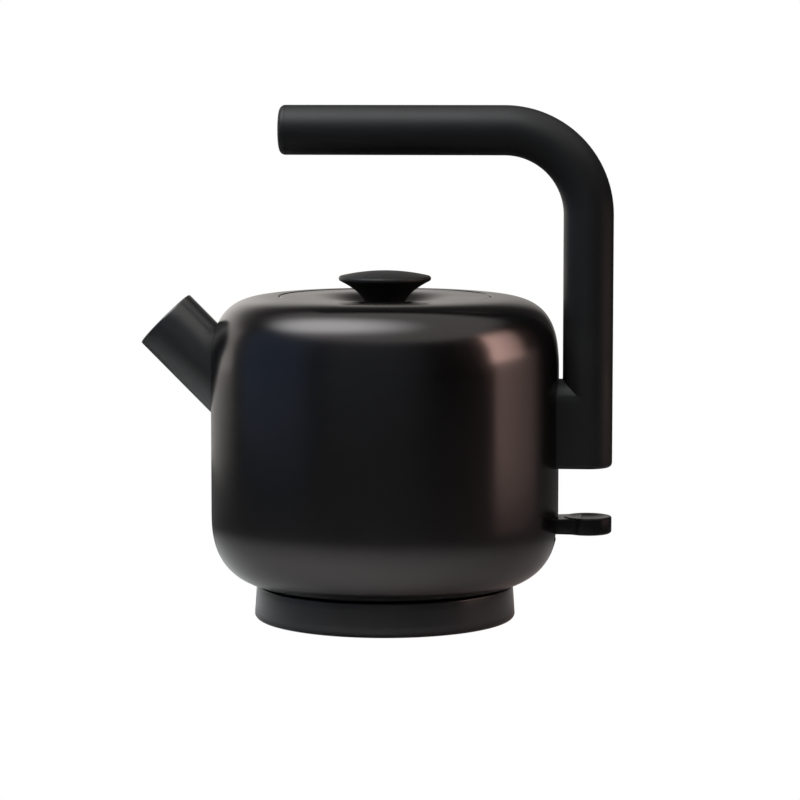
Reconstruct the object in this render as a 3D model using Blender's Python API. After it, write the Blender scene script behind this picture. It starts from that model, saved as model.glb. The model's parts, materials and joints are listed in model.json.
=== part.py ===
# Cordless electric kettle: drum body, straight spout, bar handle over the lid, round power base.
# Units are metres, +Z is up, +X points to the handle and -X to the spout.
# The origin is the middle of the power base, on the surface that it stands on.

import math

import bmesh
import bpy
from mathutils import Matrix, Vector

MM = 0.001
GAP = 0.3 * MM
BODY_STEPS = 40
ROUND_STEPS = 32
SMALL_STEPS = 14
SCREW_STEPS = 12

# Body shell, from the underside to the crown round the lid.
BODY_RADIUS = 83.3 * MM
BODY_WALL = 1.0 * MM
BODY_FOOT_Z = 16.85 * MM
BODY_SIDE_LOW_Z = 51.9 * MM
BODY_SIDE_HIGH_Z = 115.6 * MM
BODY_CROWN_Z = 155.6 * MM
CROWN_FLAT_RADIUS = 47.8 * MM
FOOT_FLAT_RADIUS = 49.2 * MM
SHOULDER_POWER = 3.2
FOOT_POWER = 2.55
FOOT_OPENING_RADIUS = 52.2 * MM

# Lid, its opening and its knob.
LID_RADIUS = 50.5 * MM
LID_DISH_DEPTH = 5.1 * MM
LID_RIM_Z = BODY_CROWN_Z - 0.3 * MM
LID_SEAT_Z = 144.5 * MM
LID_WALL = 1.0 * MM
KNOB_RADIUS = 22.1 * MM
KNOB_RIM_Z = 163.8 * MM
KNOB_RIM_ROUNDING = 1.3 * MM
KNOB_TOP_Z = 167.5 * MM
KNOB_STEM_RADIUS = 9.4 * MM
KNOB_BORE_DEPTH = 12.0 * MM
KNOB_SCREW_RADIUS = 2.0 * MM

# Bar handle: a grip over the lid, one bend, a leg, and a block that meets the body.
BAR_RADIUS = 11.9 * MM
GRIP_END_X = -50.4 * MM
GRIP_Z = 234.4 * MM
LEG_X = 97.0 * MM
BEND_RADIUS = 40.0 * MM
LEG_FOOT_Z = 74.2 * MM
FOOT_ROUNDING = 2.4 * MM
BLOCK_TOP_Z = 116.4 * MM
GRIP_BORE_RADIUS = 9.0 * MM
GRIP_BORE_LENGTH = 92.0 * MM
END_CAP_LENGTH = 3.2 * MM
END_CAP_ROUNDING = 2.8 * MM
END_CAP_PLUG = 12.0 * MM
HANDLE_SCREW_Z = (82.0 * MM, 98.0 * MM)
HANDLE_SCREW_RADIUS = 2.5 * MM
BACKPLATE_WALL = 1.5 * MM
BACKPLATE_MARGIN = 7.0 * MM

# Spout: a straight tube at 45 degrees, cut square at the mouth.
SPOUT_RADIUS = 16.3 * MM
SPOUT_WALL = 1.3 * MM
SPOUT_LENGTH = 60.0 * MM
STRAINER_DEPTH = 19.0 * MM
STRAINER_PITCH = 5.0 * MM
STRAINER_HOLE_RADIUS = 1.7 * MM
SPOUT_MOUTH = Vector((-106.2 * MM, 0.0, 144.0 * MM))
SPOUT_TILT = math.radians(-45)

# Power base.
BASE_RIM_RADIUS = 61.7 * MM
BASE_SIDE_RADIUS = 62.6 * MM
BASE_FOOT_ROUNDING = 2.0 * MM
BASE_RIM_Z = 16.95 * MM
BASE_RIM_ROUNDING = 0.6 * MM
BASE_FLOOR_Z = 0.8 * MM
BASE_WALL = 2.2 * MM
BASE_TRACK_Z = 15.0 * MM
BASE_TRACK_RADIUS = 56.2 * MM
BASE_DECK_WALL = 2.0 * MM
BASE_PLATE_TOP_Z = 3.6 * MM
BASE_SCREW_RING = 50.0 * MM
FOOT_RING = 46.0 * MM
FOOT_RADIUS = 6.0 * MM
GLAND_WIDTH = 12.0 * MM
GLAND_BORE_RADIUS = 3.4 * MM

# Small self-tapping screws, their posts and the holes that they pass.
SMALL_SCREW_RADIUS = 1.3 * MM
SMALL_HEAD_RADIUS = 2.9 * MM
SMALL_HEAD_HEIGHT = 1.3 * MM
SMALL_SCREW_BORE = 1.6 * MM
HEAD_RECESS_RADIUS = 3.3 * MM
POST_RADIUS = 3.6 * MM

# Connector: an earth pin and two rings that drop into grooves in the base boss.
BOSS_RADIUS = 19.2 * MM
BOSS_TOP_Z = 26.0 * MM
EARTH_PIN_RADIUS = 2.2 * MM
LIVE_RING_RADIUS = 8.5 * MM
NEUTRAL_RING_RADIUS = 14.0 * MM
RING_WALL = 1.0 * MM
GROOVE_INSIDE = 1.3 * MM
GROOVE_OUTSIDE = 1.9 * MM
RING_FOOT_Z = 12.0 * MM
GROOVE_FLOOR_Z = 9.0 * MM
CARRIER_Z = 27.0 * MM
CARRIER_TOP_Z = 29.7 * MM
CARRIER_RADIUS = 23.0 * MM
SKIRT_RADIUS = 21.4 * MM
SKIRT_WALL = 1.4 * MM
SKIRT_FOOT_Z = 19.2 * MM
RING_SEAT = 1.5 * MM

# Water chamber floor, heater and control.
PLATE_Z = 54.0 * MM
SPREADER_RADIUS = 47.5 * MM
HEATER_RING = 44.0 * MM
HEATER_TUBE_RADIUS = 3.4 * MM
HEATER_Z = 45.4 * MM
COVER_SCREW_RING = 34.0 * MM
CONTROL_RADIUS = 23.0 * MM
CONTROL_LOW_Z = 30.0 * MM
CONTROL_FLANGE_Z = 38.0 * MM

# Steam tube and the switch that it trips.
STEAM_X = 63.0 * MM
STEAM_Y = 22.0 * MM
STEAM_TUBE_RADIUS = 4.5 * MM
SWITCH_PIVOT = Vector((62.0 * MM, 0.0, 46.4 * MM))
PADDLE_X = 97.4 * MM
PADDLE_RADIUS = 11.4 * MM
PADDLE_LOW_Z = 42.4 * MM
PADDLE_TOP_Z = 50.6 * MM
PADDLE_DISH_RADIUS = 8.2 * MM
NECK_WIDTH = 19.0 * MM
NECK_INNER_X = 79.0 * MM
NECK_LOW_Z = 42.8 * MM
NECK_TOP_Z = 49.8 * MM
ARM_WIDTH = 10.0 * MM
SLOT_GAP = 0.8 * MM
SLOT_LOW_Z = 38.8 * MM
SLOT_TOP_Z = 50.6 * MM
PIVOT_PIN_RADIUS = 1.5 * MM
PLUNGER_DROP = 11.5 * MM


def clear_scene():
    for item in list(bpy.data.objects):
        bpy.data.objects.remove(item, do_unlink=True)


def finish(name, colour, roughness, metallic=0.0):
    """Make one Principled material."""
    material = bpy.data.materials.new(name)
    material.use_nodes = True
    shader = material.node_tree.nodes["Principled BSDF"]
    shader.inputs["Base Color"].default_value = (*colour, 1.0)
    shader.inputs["Roughness"].default_value = roughness
    shader.inputs["Metallic"].default_value = metallic
    return material


def empty(name, location=(0.0, 0.0, 0.0), parent=None):
    """Make an empty that carries the pieces of one moving body."""
    frame = bpy.data.objects.new(name, None)
    frame.location = location
    frame.parent = parent
    bpy.context.scene.collection.objects.link(frame)
    return frame


def keep(bm, name, parent=None, material=None):
    """Turn a bmesh into a named object with smooth round faces."""
    bmesh.ops.recalc_face_normals(bm, faces=bm.faces)
    mesh = bpy.data.meshes.new(name)
    bm.to_mesh(mesh)
    bm.free()
    mesh.shade_smooth()
    mesh.set_sharp_from_angle(angle=math.radians(32))
    if material:
        mesh.materials.append(material)
    piece = bpy.data.objects.new(name, mesh)
    piece.parent = parent
    bpy.context.scene.collection.objects.link(piece)
    return piece


def turned(name, outline, parent=None, material=None, steps=ROUND_STEPS):
    """Spin a closed outline of (radius, height) points once round the Z axis."""
    bm = bmesh.new()
    points = [bm.verts.new((radius, 0.0, height)) for radius, height in outline]
    edges = []
    for start, end in zip(points, points[1:] + points[:1]):
        if start.co.x > 0.0 or end.co.x > 0.0:
            edges.append(bm.edges.new((start, end)))
    bmesh.ops.spin(bm, geom=points + edges, cent=(0, 0, 0), axis=(0, 0, 1),
                   angle=math.tau, steps=steps, use_merge=True)
    bmesh.ops.remove_doubles(bm, verts=bm.verts, dist=0.001 * MM)
    return keep(bm, name, parent, material)


def block(name, low, high, parent=None, material=None, rounding=0.0):
    """A box between two corners, with its edges rounded if asked."""
    bm = bmesh.new()
    size = Vector(high) - Vector(low)
    middle = (Vector(high) + Vector(low)) / 2
    bmesh.ops.create_cube(bm, size=1.0, matrix=Matrix.Translation(middle) @ Matrix.Diagonal((*size, 1.0)))
    if rounding:
        bmesh.ops.bevel(bm, geom=bm.edges[:], offset=rounding, segments=2, affect="EDGES", profile=0.5)
    return keep(bm, name, parent, material)


def rod(name, radius, low_z, high_z, parent=None, material=None, steps=SMALL_STEPS):
    """A plain cylinder on the Z axis of its own object."""
    return turned(name, [(0, low_z), (radius, low_z), (radius, high_z), (0, high_z)], parent, material, steps)


def guide(piece):
    """Mark an object as a tool of another one's Boolean and not a piece."""
    piece.hide_render = True
    piece.display_type = "WIRE"
    return piece


def shape_with(target, tool, operation):
    modifier = target.modifiers.new(tool.name, "BOOLEAN")
    modifier.operation = operation
    modifier.solver = "EXACT"
    modifier.object = guide(tool)


def cut(target, tool):
    shape_with(target, tool, "DIFFERENCE")


def join(target, tool):
    shape_with(target, tool, "UNION")


def at(piece, location, rotation=(0.0, 0.0, 0.0)):
    piece.location = location
    piece.rotation_euler = rotation
    return piece


def on_ring(radius, degrees, height=0.0):
    angle = math.radians(degrees)
    return Vector((radius * math.cos(angle), radius * math.sin(angle), height))


def arc(centre_r, centre_z, radius, start, end, steps):
    """Points of a round arc in the outline plane, angles in degrees from +r to +z."""
    points = []
    for step in range(steps + 1):
        angle = math.radians(start + (end - start) * step / steps)
        points.append((centre_r + radius * math.cos(angle), centre_z + radius * math.sin(angle)))
    return points


def soft_corner(side, flat, power, steps):
    """Superellipse from an upright side (r, z) round to a level face (r, z)."""
    points = []
    for step in range(steps + 1):
        angle = math.radians(90) * step / steps
        across = flat[0] + (side[0] - flat[0]) * max(0.0, math.cos(angle)) ** (2 / power)
        along = side[1] + (flat[1] - side[1]) * math.sin(angle) ** (2 / power)
        points.append((across, along))
    return points


def body_curve(offset, steps, foot_limit, crown_limit):
    """The body's outline from its foot up to its crown, moved out by an offset."""
    side = BODY_RADIUS + offset
    foot = soft_corner((side, BODY_SIDE_LOW_Z), (FOOT_FLAT_RADIUS, BODY_FOOT_Z - offset), FOOT_POWER, steps)
    crown = soft_corner((side, BODY_SIDE_HIGH_Z), (CROWN_FLAT_RADIUS, BODY_CROWN_Z + offset),
                        SHOULDER_POWER, steps)
    lower = [point for point in reversed(foot) if point[0] > foot_limit]
    upper = [point for point in crown if point[0] > crown_limit]
    return lower + upper


def body_solid(name, offset):
    """The whole outside of the body as one solid, used to cope what meets it."""
    low = BODY_FOOT_Z - offset
    top = BODY_CROWN_Z + offset
    outline = [(0, low), (FOOT_FLAT_RADIUS, low)]
    outline += body_curve(offset, 8, FOOT_FLAT_RADIUS + 2 * MM, CROWN_FLAT_RADIUS + 2 * MM)
    outline += [(CROWN_FLAT_RADIUS, top), (0, top)]
    return turned(name, outline, steps=BODY_STEPS)


def screw(name, material, radius, length, head_radius, head_height, parent):
    """A pan head screw that points up: its head's underside is the object's origin."""
    edge = 0.6 * MM
    outline = [(0, -head_height), (head_radius - edge, -head_height), (head_radius, edge - head_height)]
    outline += [(head_radius, 0), (radius, 0), (radius, length - radius), (0, length)]
    return turned(name, outline, parent, material, SCREW_STEPS)


def small_screw(name, material, length, parent):
    return screw(name, material, SMALL_SCREW_RADIUS, length, SMALL_HEAD_RADIUS, SMALL_HEAD_HEIGHT, parent)


def screw_hole(name, low_z, seat_z, top_z, parent):
    """A stepped hole for a small screw: its head stops at seat_z."""
    outline = [(0, low_z), (HEAD_RECESS_RADIUS, low_z), (HEAD_RECESS_RADIUS, seat_z)]
    outline += [(SMALL_SCREW_BORE, seat_z), (SMALL_SCREW_BORE, top_z), (0, top_z)]
    return turned(name, outline, parent, steps=SCREW_STEPS)


# ---- power base ----

def make_base(parent, plastic, dark_plastic, steel, brass, rubber):
    inner = BASE_SIDE_RADIUS - BASE_WALL
    lip = inner - 1.7 * MM
    corner = BASE_FOOT_ROUNDING
    edge = BASE_RIM_ROUNDING
    deck = BASE_TRACK_Z - BASE_DECK_WALL
    ceiling = BASE_RIM_Z - BASE_DECK_WALL
    boss_hole = BOSS_RADIUS + GAP
    outline = arc(BASE_SIDE_RADIUS - corner, BASE_FLOOR_Z + corner, corner, -90, 0, 3)
    outline += arc(BASE_RIM_RADIUS - edge, BASE_RIM_Z - edge, edge, 0, 90, 2)
    outline += [(BASE_TRACK_RADIUS + 1.8 * MM, BASE_RIM_Z), (BASE_TRACK_RADIUS, BASE_TRACK_Z)]
    outline += [(boss_hole, BASE_TRACK_Z), (boss_hole, deck), (BASE_TRACK_RADIUS - 1.2 * MM, deck)]
    outline += [(BASE_TRACK_RADIUS + 0.6 * MM, ceiling), (inner - 1.0 * MM, ceiling)]
    outline += [(inner, 6.0 * MM), (lip, 4.4 * MM), (lip, BASE_FLOOR_Z)]
    cover = turned("base_cover", outline, parent, plastic)

    plate_outline = [(0, BASE_FLOOR_Z), (lip - GAP, BASE_FLOOR_Z), (lip - GAP, BASE_PLATE_TOP_Z)]
    plate_outline += [(0, BASE_PLATE_TOP_Z)]
    plate = turned("base_bottom_plate", plate_outline, parent, dark_plastic)

    for index in range(3):
        place = on_ring(BASE_SCREW_RING, 120 * index)
        post = rod(f"base_post_{index + 1}", POST_RADIUS, BASE_PLATE_TOP_Z + GAP, deck + 0.5 * MM, parent)
        join(cover, at(post, place))
        bore = rod(f"base_post_bore_{index + 1}", SMALL_SCREW_BORE, 0.0, 11.6 * MM, parent, steps=SCREW_STEPS)
        cut(cover, at(bore, place))
        hole = screw_hole(f"base_screw_hole_{index + 1}", 0.0, 2.6 * MM, 5.0 * MM, parent)
        cut(plate, at(hole, place))
        fixing = small_screw(f"base_screw_{index + 1}", steel, 8.6 * MM, parent)
        at(fixing, place + Vector((0, 0, 2.3 * MM)))

    for index in range(4):
        place = on_ring(FOOT_RING, 45 + 90 * index)
        pocket = rod(f"foot_pocket_{index + 1}", FOOT_RADIUS + GAP, 0.0, 2.4 * MM, parent)
        cut(plate, at(pocket, place))
        foot_outline = [(0, 0), (FOOT_RADIUS - 0.6 * MM, 0), (FOOT_RADIUS, 0.6 * MM), (FOOT_RADIUS, 2.1 * MM)]
        foot = turned(f"base_foot_{index + 1}", foot_outline + [(0, 2.1 * MM)], parent, rubber, SMALL_STEPS)
        at(foot, place)

    make_base_connector(parent, dark_plastic, brass)
    make_cord_gland(parent, cover, rubber)


def make_base_connector(parent, plastic, brass):
    def groove(radius):
        inside = radius - RING_WALL / 2 - GROOVE_INSIDE
        outside = radius + RING_WALL / 2 + GROOVE_OUTSIDE
        floor_z = GROOVE_FLOOR_Z
        return [(inside, BOSS_TOP_Z), (inside, floor_z), (outside, floor_z), (outside, BOSS_TOP_Z)]

    flange = BOSS_RADIUS + 4.0 * MM
    outline = [(0, 7.0 * MM), (BOSS_RADIUS, 7.0 * MM), (BOSS_RADIUS, 10.5 * MM), (flange, 10.5 * MM)]
    outline += [(flange, 12.7 * MM), (BOSS_RADIUS, 12.7 * MM), (BOSS_RADIUS, BOSS_TOP_Z - 1.2 * MM)]
    outline += [(BOSS_RADIUS - 1.2 * MM, BOSS_TOP_Z)]
    outline += reversed(groove(NEUTRAL_RING_RADIUS))
    outline += reversed(groove(LIVE_RING_RADIUS))
    pin_socket = EARTH_PIN_RADIUS + 1.7 * MM
    outline += [(pin_socket, BOSS_TOP_Z), (pin_socket, GROOVE_FLOOR_Z), (0, GROOVE_FLOOR_Z)]
    turned("base_connector", outline, parent, plastic)

    leaf_height = 12.0 * MM
    leaf_low = GROOVE_FLOOR_Z + GAP
    contacts = {
        "base_contact_live": (LIVE_RING_RADIUS + RING_WALL / 2 + GAP, 100),
        "base_contact_neutral": (NEUTRAL_RING_RADIUS + RING_WALL / 2 + GAP, 220),
        "base_contact_earth": (EARTH_PIN_RADIUS + GAP, 340),
    }
    for name, (radius, degrees) in contacts.items():
        high = (0.7 * MM, 1.2 * MM, leaf_low + leaf_height)
        leaf = block(name, (0, -1.2 * MM, leaf_low), high, parent, brass)
        at(leaf, on_ring(radius, degrees), (0, 0, math.radians(degrees)))


def make_cord_gland(parent, cover, rubber):
    """A short bush in the back wall, where the supply cord would come in."""
    half = GLAND_WIDTH / 2
    wall = BASE_SIDE_RADIUS
    low_z = 4.4 * MM
    high_z = 13.4 * MM
    slot_low = (-half - GAP, wall - 6 * MM, low_z - GAP)
    slot_high = (half + GAP, wall + 4 * MM, high_z + GAP)
    cut(cover, block("gland_slot", slot_low, slot_high, parent))
    low = (-half, wall - 5 * MM, low_z)
    high = (half, wall + 0.2 * MM, high_z)
    gland = block("cord_gland", low, high, parent, rubber, 1.2 * MM)
    bore = rod("gland_bore", GLAND_BORE_RADIUS, -10 * MM, 10 * MM, parent, steps=SCREW_STEPS)
    cut(gland, at(bore, (0, wall, (low_z + high_z) / 2), (math.radians(90), 0, 0)))


# ---- connector half that hangs under the kettle ----

def make_connector(parent, plastic, brass):
    skirt_in = SKIRT_RADIUS - SKIRT_WALL
    seat_z = CARRIER_Z + RING_SEAT
    outline = [(0, CARRIER_Z), (skirt_in, CARRIER_Z), (skirt_in, SKIRT_FOOT_Z), (SKIRT_RADIUS, SKIRT_FOOT_Z)]
    outline += [(SKIRT_RADIUS, CARRIER_Z), (CARRIER_RADIUS, CARRIER_Z), (CARRIER_RADIUS, CARRIER_TOP_Z)]
    outline += [(0, CARRIER_TOP_Z)]
    carrier = turned("kettle_connector", outline, parent, plastic)

    pin = [(0, RING_FOOT_Z), (1.2 * MM, RING_FOOT_Z), (EARTH_PIN_RADIUS, RING_FOOT_Z + 1.4 * MM)]
    pin += [(EARTH_PIN_RADIUS, seat_z), (0, seat_z)]
    turned("connector_earth_pin", pin, parent, brass, SMALL_STEPS)
    cut(carrier, rod("earth_pin_socket", EARTH_PIN_RADIUS + GAP, CARRIER_Z - 1 * MM, seat_z + GAP, parent))

    rings = {"connector_live_ring": LIVE_RING_RADIUS, "connector_neutral_ring": NEUTRAL_RING_RADIUS}
    for name, radius in rings.items():
        inside = radius - RING_WALL / 2
        outside = radius + RING_WALL / 2
        ring = [(inside, RING_FOOT_Z), (outside, RING_FOOT_Z), (outside, seat_z), (inside, seat_z)]
        turned(name, ring, parent, brass)
        socket = [(inside - GAP, CARRIER_Z - 1 * MM), (outside + GAP, CARRIER_Z - 1 * MM)]
        socket += [(outside + GAP, seat_z + GAP), (inside - GAP, seat_z + GAP)]
        cut(carrier, turned(f"{name}_socket", socket, parent))


# ---- kettle body ----

def make_body_shell(parent, coating):
    lip_in = FOOT_OPENING_RADIUS
    neck = LID_RADIUS + GAP
    outline = [(lip_in, 19.6 * MM), (lip_in, BODY_FOOT_Z)]
    outline += body_curve(0.0, 8, lip_in + 1 * MM, neck + 1.5 * MM)
    outline += arc(neck + 0.8 * MM, BODY_CROWN_Z - 0.85 * MM, 0.8 * MM, 90, 180, 2)
    outline += [(neck, LID_SEAT_Z), (47.5 * MM, LID_SEAT_Z), (47.5 * MM, LID_SEAT_Z - BODY_WALL)]
    outline += [(neck + BODY_WALL, LID_SEAT_Z - BODY_WALL), (neck + BODY_WALL, BODY_CROWN_Z - 1.6 * MM)]
    outline += reversed(body_curve(-BODY_WALL, 5, lip_in + 2.2 * MM, neck + 2.4 * MM))
    outline += [(lip_in + BODY_WALL, BODY_FOOT_Z + BODY_WALL), (lip_in + BODY_WALL, 19.6 * MM)]
    shell = turned("body_shell", outline, parent, coating, BODY_STEPS)

    hole_radius = SPOUT_RADIUS - SPOUT_WALL - GAP
    spout_hole = rod("spout_hole", hole_radius, -SPOUT_LENGTH, 0.0, parent, steps=ROUND_STEPS)
    cut(shell, at(spout_hole, SPOUT_MOUTH, (0, SPOUT_TILT, 0)))

    half = NECK_WIDTH / 2 + SLOT_GAP
    cut(shell, block("switch_slot", (76 * MM, -half, SLOT_LOW_Z), (90 * MM, half, SLOT_TOP_Z), parent))

    for index, height in enumerate(HANDLE_SCREW_Z):
        hole = handle_screw_bore(f"shell_screw_hole_{index + 1}", 76 * MM, 12 * MM, height, parent)
        cut(shell, hole)
    return shell


def handle_screw_bore(name, start_x, length, height, parent):
    """A hole along X for one of the two handle screws."""
    hole = rod(name, HANDLE_SCREW_RADIUS + GAP, 0.0, length, parent, steps=SCREW_STEPS)
    return at(hole, (start_x, 0, height), (0, math.radians(90), 0))


def make_spout(parent, black, steel):
    inner = SPOUT_RADIUS - SPOUT_WALL
    outer_lip = 0.9 * MM
    inner_lip = 0.3 * MM
    outline = [(inner, -SPOUT_LENGTH), (SPOUT_RADIUS, -SPOUT_LENGTH)]
    outline += arc(SPOUT_RADIUS - outer_lip, -outer_lip, outer_lip, 0, 90, 3)
    outline += arc(inner + inner_lip, -inner_lip, inner_lip, 90, 180, 2)
    spout = turned("spout", outline, parent, black)
    at(spout, SPOUT_MOUTH, (0, SPOUT_TILT, 0))
    cut(spout, body_solid("spout_cope", GAP))

    strainer_z = -STRAINER_DEPTH
    strainer_low = strainer_z - 0.8 * MM
    strainer = rod("spout_strainer", inner - GAP, strainer_low, strainer_z, parent, steel, ROUND_STEPS)
    at(strainer, SPOUT_MOUTH, (0, SPOUT_TILT, 0))
    drill = bmesh.new()
    row_pitch = STRAINER_PITCH * math.sin(math.radians(60))
    for row in range(-2, 3):
        for column in range(5 - abs(row)):
            across = (column - (4 - abs(row)) / 2) * STRAINER_PITCH
            place = Matrix.Translation((across, row * row_pitch, strainer_z))
            bmesh.ops.create_cone(drill, cap_ends=True, segments=6, radius1=STRAINER_HOLE_RADIUS,
                                  radius2=STRAINER_HOLE_RADIUS, depth=6 * MM, matrix=place)
    holes = keep(drill, "strainer_holes", parent)
    cut(strainer, at(holes, SPOUT_MOUTH, (0, SPOUT_TILT, 0)))


def make_chamber_floor(parent, steel, aluminium, plastic, bimetal):
    rim = BODY_RADIUS - BODY_WALL - 0.4 * MM
    low = PLATE_Z - 1.0 * MM
    outline = [(0, low), (rim - 1.0 * MM, low), (rim - 1.0 * MM, low - 2 * MM), (rim, low - 2 * MM)]
    outline += [(rim, PLATE_Z), (0, PLATE_Z)]
    plate = turned("element_plate", outline, parent, steel)
    passage = rod("steam_passage", STEAM_TUBE_RADIUS + GAP, 40 * MM, 70 * MM, parent)
    cut(plate, at(passage, (STEAM_X, STEAM_Y, 0)))

    rod("heat_spreader", SPREADER_RADIUS, 49.2 * MM, low - GAP, parent, aluminium)
    make_heater(parent, steel)

    hub = CONTROL_RADIUS
    flange = COVER_SCREW_RING + 5.8 * MM
    flange_top = CONTROL_FLANGE_Z + 2.5 * MM
    outline = [(0, CONTROL_LOW_Z), (hub, CONTROL_LOW_Z), (hub, CONTROL_FLANGE_Z), (flange, CONTROL_FLANGE_Z)]
    outline += [(flange, flange_top), (hub - 1 * MM, flange_top), (hub - 1 * MM, 48.8 * MM), (0, 48.8 * MM)]
    control = turned("control_body", outline, parent, plastic)
    bore = rod("plunger_bore", 1.9 * MM, 14 * MM, 30 * MM, parent, steps=SCREW_STEPS)
    cut(control, at(bore, (0, 0, SWITCH_PIVOT.z - PLUNGER_DROP), (0, math.radians(90), 0)))
    for index in range(3):
        place = on_ring(COVER_SCREW_RING, 60 + 120 * index)
        post = rod(f"control_post_{index + 1}", POST_RADIUS, 19.5 * MM, CONTROL_FLANGE_Z + 1 * MM, parent)
        join(control, at(post, place))
        name = f"control_post_bore_{index + 1}"
        bore = rod(name, SMALL_SCREW_BORE, 10 * MM, 29.5 * MM, parent, steps=SCREW_STEPS)
        cut(control, at(bore, place))

    inside = STEAM_TUBE_RADIUS - 1.0 * MM
    outside = STEAM_TUBE_RADIUS
    tube = [(inside, 48.4 * MM), (outside, 48.4 * MM), (outside, 146 * MM), (inside, 146 * MM)]
    at(turned("steam_tube", tube, parent, plastic, SMALL_STEPS), (STEAM_X, STEAM_Y, 0))
    disc = [(0, 45.6 * MM), (4.0 * MM, 45.3 * MM), (6.6 * MM, 44.6 * MM), (6.6 * MM, 45.0 * MM)]
    disc += [(4.0 * MM, 45.7 * MM), (0, 46.0 * MM)]
    at(turned("steam_bimetal", disc, parent, bimetal, SMALL_STEPS), (STEAM_X, STEAM_Y, 0))


def make_heater(parent, steel):
    """An open ring of tube whose two cold tails turn down beside the control."""
    route = bpy.data.curves.new("heating_element", "CURVE")
    route.dimensions = "3D"
    route.bevel_depth = HEATER_TUBE_RADIUS
    route.bevel_resolution = 2
    route.use_fill_caps = True
    turn = 6.0 * MM
    opening = 38
    tail = []
    for step in range(5):
        angle = math.radians(90) * step / 4
        sideways = turn * (1 - math.sin(angle))
        tail.append((opening + math.degrees(sideways / HEATER_RING), HEATER_Z - turn * (1 - math.cos(angle))))
    tail.append((opening, 33.0 * MM))
    first = [on_ring(HEATER_RING, degrees, height) for degrees, height in reversed(tail)]
    last = [on_ring(HEATER_RING, 360 - degrees, height) for degrees, height in tail]
    middle = [on_ring(HEATER_RING, degrees, HEATER_Z) for degrees in range(56, 306, 12)]
    points = first + middle + last
    spline = route.splines.new("POLY")
    spline.points.add(len(points) - 1)
    for point, place in zip(spline.points, points):
        point.co = (*place, 1.0)
    route.materials.append(steel)
    heater = bpy.data.objects.new("heating_element", route)
    heater.parent = parent
    bpy.context.scene.collection.objects.link(heater)


def make_bottom_cover(parent, plastic, steel):
    outer = FOOT_OPENING_RADIUS - GAP
    opening = 22.0 * MM
    low = BODY_FOOT_Z + 0.15 * MM
    outline = [(opening, low), (outer - 0.5 * MM, low), (outer, low + 0.5 * MM), (outer, low + 2 * MM)]
    outline += [(opening, low + 2 * MM)]
    cover = turned("bottom_cover", outline, parent, plastic)
    for index in range(3):
        pad = rod(f"cover_pad_{index + 1}", 4.0 * MM, BASE_TRACK_Z + GAP, low + 1 * MM, parent)
        join(cover, at(pad, on_ring(45 * MM, 120 * index)))
        place = on_ring(COVER_SCREW_RING, 60 + 120 * index)
        hole = screw_hole(f"cover_screw_hole_{index + 1}", 10 * MM, low + 1.2 * MM, 22 * MM, parent)
        cut(cover, at(hole, place))
        fixing = small_screw(f"bottom_screw_{index + 1}", steel, 10 * MM, parent)
        at(fixing, place + Vector((0, 0, low + 0.9 * MM)))


# ---- handle ----

def extend(bm, end, offset):
    """Extrude the end face of a bar by an offset and return the new end face."""
    is_inside = all(len(edge.link_faces) == 2 for edge in end.edges)
    made = bmesh.ops.extrude_face_region(bm, geom=[end])["geom"]
    new_end = next(item for item in made if isinstance(item, bmesh.types.BMFace))
    bmesh.ops.translate(bm, vec=offset, verts=new_end.verts[:])
    if is_inside:
        bm.faces.remove(end)
    return new_end


def make_handle(parent, black, steel):
    bm = bmesh.new()
    start = Vector((GRIP_END_X + END_CAP_LENGTH, 0, GRIP_Z))
    facing = Matrix.Translation(start) @ Matrix.Rotation(math.radians(90), 4, "Y")
    circle = bmesh.ops.create_circle(bm, cap_ends=True, radius=BAR_RADIUS, segments=28, matrix=facing)
    end = circle["verts"][0].link_faces[0]
    end = extend(bm, end, Vector((LEG_X - BEND_RADIUS - start.x, 0, 0)))
    centre = Vector((LEG_X - BEND_RADIUS, 0, GRIP_Z - BEND_RADIUS))
    ring = [end] + end.edges[:] + end.verts[:]
    spun = bmesh.ops.spin(bm, geom=ring, cent=centre, axis=(0, 1, 0), angle=math.radians(90), steps=8)
    end = next(item for item in spun["geom_last"] if isinstance(item, bmesh.types.BMFace))
    end = extend(bm, end, Vector((0, 0, LEG_FOOT_Z + FOOT_ROUNDING - centre.z)))
    rounding = arc(BAR_RADIUS - FOOT_ROUNDING, LEG_FOOT_Z + FOOT_ROUNDING, FOOT_ROUNDING, 0, -90, 3)
    for (radius, height), (new_radius, new_height) in zip(rounding, rounding[1:]):
        end = extend(bm, end, Vector((0, 0, new_height - height)))
        shrink = Vector((new_radius / radius, new_radius / radius, 1.0))
        middle = Matrix.Translation((-LEG_X, 0, 0))
        bmesh.ops.scale(bm, vec=shrink, space=middle, verts=end.verts[:])
    bar = keep(bm, "handle_bar", parent, black)

    join(bar, make_handle_block(parent))
    cut(bar, body_solid("handle_cope", GAP))
    bore = rod("grip_bore", GRIP_BORE_RADIUS, 0.0, GRIP_BORE_LENGTH, parent, steps=24)
    cut(bar, at(bore, (GRIP_END_X, 0, GRIP_Z), (0, math.radians(90), 0)))
    for index, height in enumerate(HANDLE_SCREW_Z):
        cut(bar, handle_screw_bore(f"block_screw_hole_{index + 1}", 80 * MM, 18 * MM, height, parent))

    plug = GRIP_BORE_RADIUS - GAP
    seam = GAP - END_CAP_LENGTH
    cap = [(0, -END_CAP_PLUG), (plug - 1 * MM, -END_CAP_PLUG), (plug, 1 * MM - END_CAP_PLUG)]
    cap += [(plug, seam), (BAR_RADIUS, seam)]
    cap += arc(BAR_RADIUS - END_CAP_ROUNDING, -END_CAP_ROUNDING, END_CAP_ROUNDING, 0, 90, 4)
    cap += [(0, 0)]
    end_cap = turned("handle_end_cap", cap, parent, black, 28)
    at(end_cap, (GRIP_END_X, 0, GRIP_Z), (0, math.radians(-90), 0))
    make_handle_fixings(parent, steel)


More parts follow.
